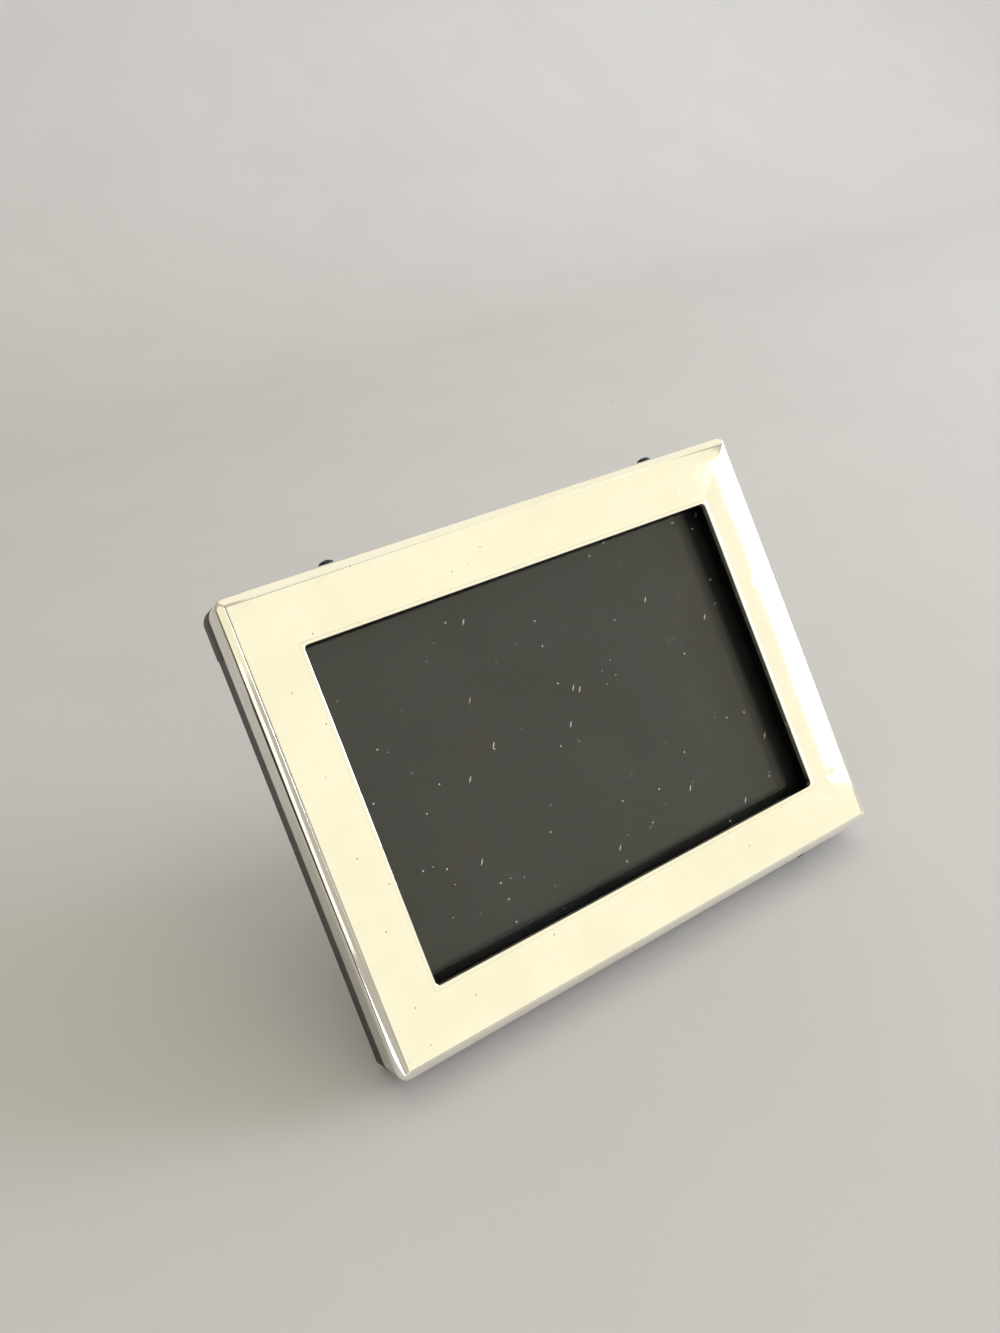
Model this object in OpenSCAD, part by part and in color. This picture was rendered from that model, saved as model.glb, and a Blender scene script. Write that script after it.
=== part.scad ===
// Small standing picture frame: a pressed silver front over a black wooden carcass,
// with recessed glass, a dark backing card, a lift-out back and a folding easel strut.
// The frame is modelled upright, x across, y from the face to the back and z up,
// and then leans back on its rear bottom edge and its strut. Millimetres.

/* [Frame] */
// Width of the window in the silver face
window_w = 84; // [70:0.5:100]
// Height of the window in the silver face
window_h = 58.5; // [50:0.5:75]
// Width of the border at each side of the window
side_border = 11; // [10:0.5:15]
// Width of the border above and below the window
top_border = 11.5; // [10.5:0.5:15]
// Depth of the frame from its face to its back
frame_d = 12.4; // [11.6:0.1:16]
// Angle that the frame leans back from upright, in degrees
lean = 30; // [20:1:33]

/* [Silver front] */
// Thickness of the silver sheet
sheet_t = 0.45; // [0.3:0.05:0.7]
// Radius of the bead along the outer edge of the face
bead_r = 2; // [1.6:0.1:2.2]
// Radius of the skirt's corners, seen from the front
corner_r = 2.5; // [2.4:0.1:4]
// Radius of the window's corners
window_r = 0.8; // [0.4:0.1:1.5]
// Depth of the lip turned back round the window
lip_d = 1.2; // [0.8:0.1:2]
// Depth of the skirt turned back round the outside
skirt_d = 7.2; // [6:0.1:8]
// Width of the dark line between the skirt and the wood behind it
skirt_seam = 0.15; // [0.1:0.05:0.4]

/* [Glazing] */
// How far the rebate reaches past the window on each side
rebate_lap = 3; // [2.5:0.1:4]
// Depth of the glass behind the face, as a share of the depth that the thin layers leave
recess_share = 0.4667; // [0.42:0.005:0.5]
// Thickness of the glass
glass_t = 2; // [1.5:0.1:2.2]
// Thickness of the backing card with its cloth
card_t = 0.8; // [0.5:0.1:1]
// Thickness of the back board, as a share of the depth that the thin layers leave
board_share = 0.3111; // [0.25:0.005:0.33]
// Thickness of the leathercloth on the back board
cover_t = 0.4; // [0.3:0.05:0.6]
// Clearance all round the glass, card, packing and back board
glazing_clear = 0.3; // [0.2:0.05:0.5]

/* [Carcass pins] */
// Diameter of the pins that hold the rails together
rail_pin_d = 1.2; // [1:0.1:1.6]
// Length of the pins that hold the rails together
rail_pin_len = 15; // [13:0.5:18]
// Depth of each pin's head below the surface, under the filler
rail_pin_sink = 0.6; // [0.4:0.1:1]
// Shank diameter of the round-headed pins through the skirt
skirt_pin_d = 1; // [0.8:0.1:1.2]
// Radius of the round heads of the pins through the skirt
skirt_head_r = 1.35; // [1.1:0.05:1.6]
// Height of the collar under each round head
skirt_collar_t = 0.15; // [0.1:0.05:0.4]
// Length of the skirt pins under the head
skirt_pin_len = 4.5; // [3:0.5:5.5]
// Distance of the skirt pins in from the skirt's rear edge
skirt_pin_in = 3.2; // [2.4:0.1:3.4]
// Distance of the upper left skirt pin from the middle of the frame
top_pin_left = 32.3; // [28:0.1:38]
// Distance of the upper right skirt pin from the middle of the frame
top_pin_right = 35; // [28:0.1:38]
// Distance of the lower right skirt pin from the middle of the frame
bottom_pin_right = 36; // [28:0.1:38]

/* [Turn buttons] */
// Distance of each turn button's pivot from the middle of the frame
button_x = 30; // [26:0.2:36]
// Distance from a button's pivot to its tip
button_reach = 8; // [7:0.1:9]
// Radius of a button's broad end
button_r = 2.2; // [1.8:0.1:2.4]
// Radius of a button's tip
button_tip_r = 1.6; // [1:0.1:1.7]
// Thickness of a button
button_t = 1.2; // [0.8:0.1:1.5]
// Running gap above and below a button
button_gap = 0.1; // [0.05:0.05:0.2]
// Turn of the buttons from upright, where they clear the back board, in degrees
button_turn = 90; // [75:1:105]
// Diameter of the screw shanks
screw_d = 2.1; // [1.8:0.1:2.4]
// Head diameter of the screws
screw_head_d = 3.8; // [3.4:0.1:4.2]
// Head thickness of the screws
screw_head_t = 0.9; // [0.7:0.1:1.2]
// Depth that the screws enter the rails
screw_in = 4.2; // [3:0.1:4.5]
// Width of the screwdriver slot
slot_w = 0.5; // [0.4:0.1:0.8]
// Depth of the screwdriver slot
slot_d = 0.4; // [0.3:0.1:0.5]

/* [Easel strut] */
// Distance of the hinge pin below the frame's top edge
hinge_drop = 23.5; // [21.5:0.5:31]
// Angle between the open strut and the back, in degrees
strut_open = 42; // [40:1:48]
// Thickness of the strut's board
strut_t = 2.6; // [2:0.1:3]
// Width of the strut at its hinge
strut_top_w = 18; // [17:0.5:22]
// Width of the strut at its foot
strut_foot_w = 34; // [26:0.5:40]
// Gap between the hinge pin and the top of the strut's board
strut_top_gap = 2.6; // [2.2:0.1:4]
// Thickness of the hinge's metal
hinge_t = 0.8; // [0.6:0.1:1]
// Radius of the hinge knuckles
knuckle_r = 1.5; // [1.3:0.1:1.8]
// Diameter of the hinge pin
hinge_pin_d = 1.2; // [1:0.1:1.4]
// Length of the middle knuckle
mid_knuckle_w = 6; // [5:0.5:8]
// Width of the hinge plate and of the strut's leaf
hinge_w = 16; // [15:0.5:18]
// Height of the hinge plate above the pin
hinge_plate_up = 10; // [9:0.5:12]
// Length of the strut's leaf below the pin
leaf_len = 13; // [12:0.5:16]
// Diameter of the rivets
rivet_d = 1.6; // [1.2:0.1:1.8]
// Head diameter of the rivets
rivet_head_d = 3.2; // [2.8:0.1:3.4]
// Head thickness of the rivets
rivet_head_t = 0.5; // [0.4:0.1:0.6]

/* [Hidden] */
$fn = 64;
// Facets of the posts that the silver front is drawn over
post_fn = 48;
// Gap between pieces that lie against each other
fit_gap = 0.05;
// Radial clearance of a shaft in its hole
bore_clear = 0.05;
// Gap between the packing and the back board, which lifts out
lift_gap = 0.1;
// Depth of the flat where the rear bottom edge stands
stand_flat = 0.25;
// Overrun of every cut
over = 1;
// Gap between the middle knuckle and the ones beside it
knuckle_gap = 0.2;
// Gap between a knuckle and the plate that it turns over
plate_gap = 0.15;
// Gap left between the strut's heel and the plate at its stop
stop_gap = 0.05;
// How far the hinge pin stands out of the knuckles at each end
pin_end = 0.4;
// How far the hinge plate reaches below the pin
hinge_plate_down = 2;
// Where the rivets sit, as shares of the hinge's width and of each leaf's length
rivet_x_share = 0.28;
rivet_z_share = 0.65;

// Outer width and height of the frame
frame_w = window_w + 2 * side_border;
frame_h = window_h + 2 * top_border;
// Widths of the upright and the level rails
side_rail_w = side_border - rebate_lap;
top_rail_w = top_border - rebate_lap;
rebate_w = frame_w - 2 * side_rail_w;
rebate_h = frame_h - 2 * top_rail_w;
// Height of the hinge pin above the frame's bottom edge
hinge_h = frame_h - hinge_drop;
// How far the wood under the silver lies inside the frame's outline
under_inset = sheet_t + fit_gap;
// Depths of the layers behind the face
wood_y = sheet_t + fit_gap;
wood_back_y = skirt_d + skirt_seam;
layers_d = frame_d - glass_t - card_t - cover_t - lift_gap - 2 * fit_gap;
recess_d = layers_d * recess_share;
board_t = layers_d * board_share;
card_y = recess_d + glass_t + fit_gap;
pad_y = card_y + card_t + fit_gap;
board_y = frame_d - cover_t - board_t;
pad_t = board_y - lift_gap - pad_y;
glazing_w = rebate_w - 2 * glazing_clear;
glazing_h = rebate_h - 2 * glazing_clear;
// Depth of the hinge plate's outer face, and of the hinge pin
plate_y = frame_d + fit_gap;
pin_y = plate_y + hinge_t + plate_gap + knuckle_r;
// Length of the strut's heel past the pin, which stops it on the plate when it is open
heel_len = (knuckle_r + plate_gap - stop_gap - hinge_t / 2 * cos(strut_open)) / sin(strut_open);
// How far the frame is lifted so that its rear bottom edge stands on its flat
lift = frame_d * sin(lean) - stand_flat;
// Slope of the open strut from upright, and the height of its pin above the table
strut_slope = strut_open - lean;
pin_up = lift - pin_y * sin(lean) + hinge_h * cos(lean);
strut_out = hinge_t / 2 + fit_gap + strut_t;
strut_len = (pin_up + strut_out * sin(strut_slope)) / cos(strut_slope);
// Front and rear limits of the standing frame, and its middle
front_y = bead_r * (cos(lean) + sin(lean) - 1);
rear_y = pin_y * cos(lean) + hinge_h * sin(lean) + strut_len * sin(strut_slope) + strut_out * cos(strut_slope);
mid_y = (front_y + rear_y) / 2;
// Pivots of the turn buttons: place across, place up, and turn from straight up
button_low_z = top_rail_w / 2;
button_high_z = frame_h - top_rail_w / 2;
screw_top_y = frame_d + button_t + 2 * button_gap;

// Leans what is drawn upright back onto the table, about the middle of the part
module leaned() {
    translate([0, -mid_y, lift]) rotate([-lean, 0, 0]) children();
}

// Everything below the table, for cutting what stands on it flat
module below_table() {
    span = frame_w + frame_h;
    translate([-span, -span, -span]) cube([2 * span, 2 * span, span]);
}

// A flat outline in x and z made solid between two depths
module slab(from_y, to_y) {
    translate([0, to_y, 0]) rotate([90, 0, 0]) linear_extrude(to_y - from_y) children();
}

// Rectangle with round corners about the middle of the frame
module outline(w, h, r) {
    translate([0, frame_h / 2]) {
        square([w - 2 * r, h], center = true);
        square([w, h - 2 * r], center = true);
        for (sx = [-1, 1], sz = [-1, 1])
            translate([sx * (w / 2 - r), sz * (h / 2 - r)]) circle(r);
    }
}

module plain_outline(w, h) {
    translate([0, frame_h / 2]) square([w, h], center = true);
}

// A corner post with a rounded front edge, drawn along y from the face
module corner_post(r, edge_r, depth) {
    rotate([-90, 0, 0]) rotate_extrude($fn = post_fn) intersection() {
        union() {
            square([r - edge_r, depth]);
            translate([0, edge_r]) square([r, depth - edge_r]);
            translate([r - edge_r, edge_r]) circle(edge_r, $fn = post_fn);
        }
        square([r, depth]);
    }
}

// The rounded block that the sheet is pressed over, drawn in from its outline by inset
module pressed_block(inset, depth) {
    r = corner_r - inset;
    hull() for (sx = [-1, 1], sz = [-1, 1])
        translate([sx * (frame_w / 2 - corner_r), inset, frame_h / 2 + sz * (frame_h / 2 - corner_r)])
            corner_post(r, bead_r - inset, depth);
}

// Places at the pins through the skirt, with z into the rail
module at_skirt_pins() {
    pins = [[-top_pin_left, 1], [top_pin_right, 1], [bottom_pin_right, 0]];
    for (pin = pins)
        translate([pin[0], skirt_d - skirt_pin_in, pin[1] * frame_h]) mirror([0, 0, pin[1]]) children();
}

module silver_front() {
    color("silver") leaned() difference() {
        union() {
            difference() {
                pressed_block(0, skirt_d);
                pressed_block(sheet_t, skirt_d + over);
            }
            slab(sheet_t / 2, lip_d) outline(window_w + 2 * sheet_t, window_h + 2 * sheet_t, window_r + sheet_t);
        }
        slab(-over, lip_d + over) outline(window_w, window_h, window_r);
        at_skirt_pins() translate([0, 0, -over])
            cylinder(d = skirt_pin_d + 2 * bore_clear, h = sheet_t + 2 * over, $fn = 24);
    }
}

// The whole carcass before it is divided into rails
module carcass() {
    rear_r = corner_r;
    under_w = frame_w - 2 * under_inset;
    under_h = frame_h - 2 * under_inset;
    difference() {
        union() {
            slab(wood_back_y, frame_d) outline(frame_w, frame_h, rear_r);
            slab(bead_r, wood_back_y) outline(under_w, under_h, rear_r - under_inset);
            slab(wood_y, bead_r) plain_outline(frame_w - 2 * bead_r, frame_h - 2 * bead_r);
        }
        slab(0, frame_d + over) plain_outline(rebate_w, rebate_h);
        rail_pin_shafts(rail_pin_d / 2 + bore_clear, fit_gap);
        at_skirt_pins() cylinder(d = skirt_pin_d + 2 * bore_clear, h = skirt_pin_len + fit_gap, $fn = 24);
        at_screws() translate([0, 0, -screw_in - fit_gap])
            cylinder(d = screw_d + 2 * bore_clear, h = screw_in + over);
    }
}

// One pin for each butt joint, driven through the rail that covers the other's end
module rail_pin_shafts(r, extra) {
    y = (wood_back_y + frame_d) / 2;
    x = frame_w / 2 - side_rail_w / 2;
    z = top_rail_w / 2;
    len = rail_pin_len + 2 * extra;
    start = rail_pin_sink - extra;
    translate([-x, y, frame_h - start - len]) cylinder(r = r, h = len, $fn = 32);
    translate([frame_w / 2 - start - len, y, frame_h - z]) rotate([0, 90, 0]) cylinder(r = r, h = len, $fn = 32);
    translate([x, y, start]) cylinder(r = r, h = len, $fn = 32);
    translate([start - frame_w / 2, y, z]) rotate([0, 90, 0]) cylinder(r = r, h = len, $fn = 32);
}

// Places at the four screws, with z out of the back
module at_screws() {
    for (sx = [-1, 1], z = [button_low_z, button_high_z])
        translate([sx * button_x, frame_d, z]) rotate([-90, 0, 0]) children();
}

// The part of the carcass between two corners, standing on the table
module rail(x0, x1, z0, z1) {
    difference() {
        leaned() intersection() {
            carcass();
            translate([x0, 0, z0]) cube([x1 - x0, frame_d + over, z1 - z0]);
        }
        below_table();
    }
}

module top_rail() {
    color("#1c1a18")
        rail(-frame_w / 2, frame_w / 2 - side_rail_w - fit_gap, frame_h - top_rail_w, frame_h);
}

module right_rail() {
    color("#1c1a18") rail(frame_w / 2 - side_rail_w, frame_w / 2, top_rail_w + fit_gap, frame_h);
}

module bottom_rail() {
    color("#1c1a18") rail(fit_gap + side_rail_w - frame_w / 2, frame_w / 2, 0, top_rail_w);
}

module left_rail() {
    color("#1c1a18") rail(-frame_w / 2, side_rail_w - frame_w / 2, 0, frame_h - top_rail_w - fit_gap);
}

module rail_pins() {
    color("#8d8f92") leaned() rail_pin_shafts(rail_pin_d / 2, 0);
}

module skirt_pins() {
    seat = skirt_collar_t + fit_gap;
    color("#2b2a29") leaned() at_skirt_pins() {
        translate([0, 0, -seat]) cylinder(d = skirt_pin_d, h = seat + skirt_pin_len, $fn = 24);
        translate([0, 0, -seat]) cylinder(r = skirt_head_r, h = skirt_collar_t);
        translate([0, 0, -seat]) mirror([0, 0, 1]) rotate_extrude() intersection() {
            circle(skirt_head_r);
            square(skirt_head_r);
        }
    }
}

module window_spacer() {
    inner = sheet_t + fit_gap;
    color("#0d0d0d") leaned() difference() {
        slab(wood_y, recess_d - fit_gap) plain_outline(rebate_w - 2 * glazing_clear, rebate_h - 2 * glazing_clear);
        slab(0, recess_d + over) outline(window_w + 2 * inner, window_h + 2 * inner, window_r + inner);
    }
}

module glass() {
    color("#9fb3b4", 0.35) leaned() slab(recess_d, recess_d + glass_t) plain_outline(glazing_w, glazing_h);
}

module backing_card() {
    color("#3a3739") leaned() slab(card_y, card_y + card_t) plain_outline(glazing_w, glazing_h);
}

module packing_pad() {
    color("#8b7a5c") leaned() slab(pad_y, pad_y + pad_t) plain_outline(glazing_w, glazing_h);
}

// Places at the rivets of the hinge plate, with z out of the back
module at_plate_rivets() {
    for (sx = [-1, 1])
        translate([sx * hinge_w * rivet_x_share, plate_y + hinge_t, hinge_h + hinge_plate_up * rivet_z_share])
            rotate([-90, 0, 0]) children();
}

module plate_rivet_holes() {
    at_plate_rivets() translate([0, 0, -frame_d])
        cylinder(d = rivet_d + 2 * bore_clear, h = 2 * frame_d, $fn = 32);
}

module back_board() {
    color("#4a3a2c") leaned() difference() {
        slab(board_y, board_y + board_t) plain_outline(glazing_w, glazing_h);
        plate_rivet_holes();
        at_plate_rivets() translate([0, 0, board_y - over - plate_y - hinge_t])
            cylinder(d = rivet_head_d + 2 * bore_clear, h = rivet_head_t + fit_gap + over, $fn = 32);
    }
}

module back_cover() {
    color("#151414") leaned() difference() {
        slab(board_y + board_t, frame_d) plain_outline(glazing_w, glazing_h);
        plate_rivet_holes();
    }
}

module hinge_plate() {
    side = (hinge_w - mid_knuckle_w) / 2 - knuckle_gap;
    color("#8c7440") leaned() difference() {
        union() {
            slab(plate_y, plate_y + hinge_t) translate([-hinge_w / 2, hinge_h - hinge_plate_down])
                square([hinge_w, hinge_plate_down + hinge_plate_up]);
            for (sx = [0, 1]) mirror([sx, 0, 0]) translate([hinge_w / 2 - side, pin_y, hinge_h]) {
                rotate([0, 90, 0]) cylinder(r = knuckle_r, h = side);
                translate([0, plate_y - pin_y, -knuckle_r]) cube([side, pin_y - plate_y, 2 * knuckle_r]);
            }
        }
        hinge_bore();
        plate_rivet_holes();
    }
}

// The hole through all the knuckles
module hinge_bore() {
    translate([-hinge_w, pin_y, hinge_h]) rotate([0, 90, 0])
        cylinder(d = hinge_pin_d + 2 * bore_clear, h = 2 * hinge_w, $fn = 32);
}

module hinge_plate_rivets() {
    deep = plate_y + hinge_t - board_y;
    color("#a08a52") leaned() at_plate_rivets() {
        cylinder(d = rivet_head_d, h = rivet_head_t, $fn = 32);
        translate([0, 0, -deep]) cylinder(d = rivet_d, h = deep, $fn = 32);
        translate([0, 0, -deep]) cylinder(d = rivet_head_d, h = rivet_head_t, $fn = 32);
    }
}

module hinge_pin() {
    color("#b8b2a4") leaned() translate([-hinge_w / 2 - pin_end, pin_y, hinge_h])
        rotate([0, 90, 0]) cylinder(d = hinge_pin_d, h = hinge_w + 2 * pin_end, $fn = 32);
}

// The strut's own place: x across, y out of its back and -z from the hinge pin to the foot
module at_strut() {
    leaned() translate([0, pin_y, hinge_h]) rotate([strut_open, 0, 0]) children();
}

// Places at the strut's rivets, with z out of the back
module at_strut_rivets() {
    for (sx = [-1, 1])
        translate([sx * hinge_w * rivet_x_share, 0, -leaf_len * rivet_z_share]) rotate([-90, 0, 0]) children();
}

module strut_rivet_holes() {
    at_strut_rivets() translate([0, 0, -strut_out])
        cylinder(d = rivet_d + 2 * bore_clear, h = 2 * strut_out + over, $fn = 32);
}

module strut_leaf() {
    clear_r = knuckle_r + knuckle_gap;
    color("#8c7440") at_strut() difference() {
        union() {
            translate([-mid_knuckle_w / 2, 0, 0]) rotate([0, 90, 0]) cylinder(r = knuckle_r, h = mid_knuckle_w);
            translate([-mid_knuckle_w / 2, -hinge_t / 2, -clear_r])
                cube([mid_knuckle_w, hinge_t, clear_r + heel_len]);
            translate([-hinge_w / 2, -hinge_t / 2, -leaf_len]) cube([hinge_w, hinge_t, leaf_len - clear_r]);
        }
        translate([-hinge_w, 0, 0]) rotate([0, 90, 0])
            cylinder(d = hinge_pin_d + 2 * bore_clear, h = 2 * hinge_w, $fn = 32);
        strut_rivet_holes();
    }
}

module strut() {
    color("#151414") difference() {
        at_strut() difference() {
            slab(hinge_t / 2 + fit_gap, strut_out) polygon([
                [-strut_top_w / 2, -strut_top_gap], [strut_top_w / 2, -strut_top_gap],
                [strut_foot_w / 2, -strut_len - over], [-strut_foot_w / 2, -strut_len - over]]);
            strut_rivet_holes();
        }
        below_table();
    }
}

module strut_rivets() {
    inner = hinge_t / 2;
    color("#a08a52") at_strut() at_strut_rivets() {
        translate([0, 0, -inner]) cylinder(d = rivet_d, h = inner + strut_out, $fn = 32);
        translate([0, 0, -inner - rivet_head_t]) cylinder(d = rivet_head_d, h = rivet_head_t, $fn = 32);
        translate([0, 0, strut_out]) cylinder(d = rivet_head_d, h = rivet_head_t, $fn = 32);
    }
}

// A turn button about its pivot, tapering from its broad end to its tip, turned from straight up
module turn_button(x, z, turn) {
    near_y = frame_d + button_gap;
    far_y = near_y + button_t;
    run = button_reach - button_tip_r;
    flare = asin((button_r - button_tip_r) / run);
    wide = button_r * cos(flare);
    thin = button_tip_r * cos(flare);
    low = button_r * sin(flare);
    high = run + button_tip_r * sin(flare);
    color("#202022") leaned() translate([x, 0, z]) rotate([0, turn, 0]) difference() {
        union() {
            slab(near_y, far_y) circle(button_r);
            slab(near_y, far_y) translate([0, run]) circle(button_tip_r);
            slab(near_y, far_y) polygon([[-wide, low], [-thin, high], [thin, high], [wide, low]]);
        }
        slab(frame_d, far_y + over) circle(screw_d / 2 + bore_clear);
    }
}

module turn_button_top_left() {
    turn_button(-button_x, button_high_z, -button_turn);
}

module turn_button_top_right() {
    turn_button(button_x, button_high_z, button_turn);
}

module turn_button_bottom_left() {
    turn_button(-button_x, button_low_z, -button_turn);
}

module turn_button_bottom_right() {
    turn_button(button_x, button_low_z, button_turn);
}

module turn_button_screws() {
    raised = screw_top_y - frame_d;
    color("#6f6f72") leaned() at_screws() difference() {
        union() {
            translate([0, 0, -screw_in]) cylinder(d = screw_d, h = screw_in + raised);
            translate([0, 0, raised]) cylinder(d = screw_head_d, h = screw_head_t);
        }
        translate([-screw_head_d, -slot_w / 2, raised + screw_head_t - slot_d])
            cube([2 * screw_head_d, slot_w, slot_d + over]);
    }
}

silver_front();
top_rail();
right_rail();
bottom_rail();
left_rail();
rail_pins();
skirt_pins();
window_spacer();
glass();
backing_card();
packing_pad();
back_board();
back_cover();
hinge_plate();
hinge_plate_rivets();
hinge_pin();
strut_leaf();
strut();
strut_rivets();
turn_button_top_left();
turn_button_top_right();
turn_button_bottom_left();
turn_button_bottom_right();
turn_button_screws();
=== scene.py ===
"""Looks of a small standing picture frame: silver front, black wood, glass and an easel back."""

import logging
import math
from collections.abc import Callable, Sequence
from dataclasses import dataclass
from enum import Enum
from functools import cache

import bpy
import numpy as np
from mathutils import Matrix, Quaternion, Vector


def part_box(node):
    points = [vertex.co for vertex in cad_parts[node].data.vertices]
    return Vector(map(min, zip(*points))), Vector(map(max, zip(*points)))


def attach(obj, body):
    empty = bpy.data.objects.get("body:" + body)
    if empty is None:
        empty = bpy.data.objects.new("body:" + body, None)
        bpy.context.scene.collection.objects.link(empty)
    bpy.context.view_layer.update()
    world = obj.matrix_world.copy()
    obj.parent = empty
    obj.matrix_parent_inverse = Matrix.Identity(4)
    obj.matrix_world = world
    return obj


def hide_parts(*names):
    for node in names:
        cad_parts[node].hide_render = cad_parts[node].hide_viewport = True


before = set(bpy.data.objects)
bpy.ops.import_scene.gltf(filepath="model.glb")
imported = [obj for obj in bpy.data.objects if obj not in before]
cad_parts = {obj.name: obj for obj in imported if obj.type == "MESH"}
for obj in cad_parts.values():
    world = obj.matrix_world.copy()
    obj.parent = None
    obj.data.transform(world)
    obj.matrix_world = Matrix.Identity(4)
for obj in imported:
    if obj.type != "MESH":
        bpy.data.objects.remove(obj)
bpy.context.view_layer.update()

MM = 0.001
QUARTER = math.pi / 2
ALONG_X = [1, 0, 2]
LOG = logging.getLogger("picture_frame")

Points = np.ndarray
Faces = list[list[int]]
Mesh = tuple[np.ndarray, Faces]
Colour = tuple[float, float, float]
Levels = list[tuple[float, float]]
Rows = tuple[tuple[float, ...], ...]


def srgb(red: int, green: int, blue: int) -> Colour:
    """Turns a colour written in steps of 255 into the linear one that a shader takes."""
    shares = np.array([red, green, blue]) / 255.0
    linear = np.where(shares > 0.04045, ((shares + 0.055) / 1.055) ** 2.4, shares / 12.92)
    return tuple(float(value) for value in linear)


class Body(Enum):
    """The bodies that the pieces ride on."""

    FRAME = "frame"
    BACK = "back"
    EASEL = "easel"
    TOP_LEFT = "button_top_left"
    TOP_RIGHT = "button_top_right"
    BOTTOM_LEFT = "button_bottom_left"
    BOTTOM_RIGHT = "button_bottom_right"


class Slot(Enum):
    """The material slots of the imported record."""

    SILVER = "silver"
    BLACK_WOOD = "black_wood"
    BLACK_CARD = "black_card"
    GLASS = "clear_glass"
    CLOTH = "ribbed_cloth"
    PACKING = "packing"
    BACK_WOOD = "back_wood"
    LEATHERCLOTH = "leathercloth"
    HINGE_METAL = "hinge_metal"
    STEEL_PIN = "steel_pin"
    BLACK_METAL = "black_metal"
    SCREW_STEEL = "screw_steel"


@dataclass(frozen=True)
class FrameSizes:
    """Sizes of the frame in millimetres, upright: x across, y from the face back, z up.

    They repeat the ones that the solids are made from.
    """

    window_w: float = 84.0
    window_h: float = 58.5
    side_border: float = 11.0
    top_border: float = 11.5
    depth: float = 12.4
    lean: float = 30.0
    sheet_t: float = 0.45
    lip_d: float = 1.2
    skirt_d: float = 7.2
    rebate_lap: float = 3.0
    glass_y: float = 4.2
    glass_t: float = 2.0
    card_t: float = 0.8
    board_t: float = 2.8
    cover_t: float = 0.4
    glazing_clear: float = 0.3
    fit_gap: float = 0.05
    hinge_drop: float = 23.5
    hinge_t: float = 0.8
    knuckle_r: float = 1.5
    plate_gap: float = 0.15
    strut_open: float = 42.0
    strut_t: float = 2.6
    stand_flat: float = 0.25

    @property
    def frame_w(self) -> float:
        """Outer width of the frame."""
        return self.window_w + 2 * self.side_border

    @property
    def frame_h(self) -> float:
        """Outer height of the frame."""
        return self.window_h + 2 * self.top_border

    @property
    def glazing_w(self) -> float:
        """Width of the glass and of what lies behind it."""
        return self.window_w + 2 * (self.rebate_lap - self.glazing_clear)

    @property
    def glazing_h(self) -> float:
        """Height of the glass and of what lies behind it."""
        return self.window_h + 2 * (self.rebate_lap - self.glazing_clear)

    @property
    def lift(self) -> float:
        """How far the frame is lifted so that its rear bottom edge stands on the table."""
        return self.depth * math.sin(math.radians(self.lean)) - self.stand_flat

    @property
    def hinge_z(self) -> float:
        """Height of the hinge pin above the frame's bottom edge."""
        return self.frame_h - self.hinge_drop

    @property
    def plate_y(self) -> float:
        """Depth of the hinge plate's inner face."""
        return self.depth + self.fit_gap

    @property
    def pin_y(self) -> float:
        """Depth of the hinge pin."""
        return self.plate_y + self.hinge_t + self.plate_gap + self.knuckle_r

    @property
    def strut_out(self) -> float:
        """Distance of the strut's rear face from the plane of its hinge pin."""
        return self.hinge_t / 2 + self.fit_gap + self.strut_t

    @property
    def strut_len(self) -> float:
        """Length of the strut from its pin to the table."""
        slope, lean = math.radians(self.strut_open - self.lean), math.radians(self.lean)
        pin_up = self.lift - self.pin_y * math.sin(lean) + self.hinge_z * math.cos(lean)
        return (pin_up + self.strut_out * math.sin(slope)) / math.cos(slope)


SIZES = FrameSizes()
TOOLED_LINE: Rows = ((0.1, 0), (0.25, 1), (0.55, 1), (0.7, 0))


def turn_about_x(degrees: float) -> Points:
    """A turn about x, as a matrix for points written in rows."""
    cos, sin = math.cos(math.radians(degrees)), math.sin(math.radians(degrees))
    return np.array([[1, 0, 0], [0, cos, -sin], [0, sin, cos]])


@dataclass(frozen=True)
class Stance:
    """Turns points of the upright frame, in millimetres, into the standing one, in metres.

    The last axis of the points is x, y and z; mid_y is the depth of the part's middle.
    """

    mid_y: float

    @property
    def shift(self) -> Points:
        """Where the leaning frame's origin goes, in millimetres."""
        return np.array([0, -self.mid_y, SIZES.lift])

    def place(self, points: Points) -> Points:
        """Leans points back onto the table."""
        return (points @ turn_about_x(SIZES.lean) + self.shift) * MM

    def upright(self, points: Points) -> Points:
        """The opposite of place: standing points in metres to upright ones in millimetres."""
        return (points / MM - self.shift) @ turn_about_x(SIZES.lean).T

    def place_strut(self, points: Points) -> Points:
        """Places points of the strut, whose z runs up along it from 0 at its hinge pin."""
        return self.place(points @ turn_about_x(-SIZES.strut_open) + (0, SIZES.pin_y, SIZES.hinge_z))


def middle_depth() -> float:
    """Depth of the part's middle, in millimetres, read from a solid's own place."""
    centre_y = sum(corner[1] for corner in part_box("hinge_pin")) / 2 / MM
    angle = math.radians(SIZES.lean)
    return SIZES.pin_y * math.cos(angle) + SIZES.hinge_z * math.sin(angle) - float(centre_y)


STANCE = Stance(middle_depth())


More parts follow.
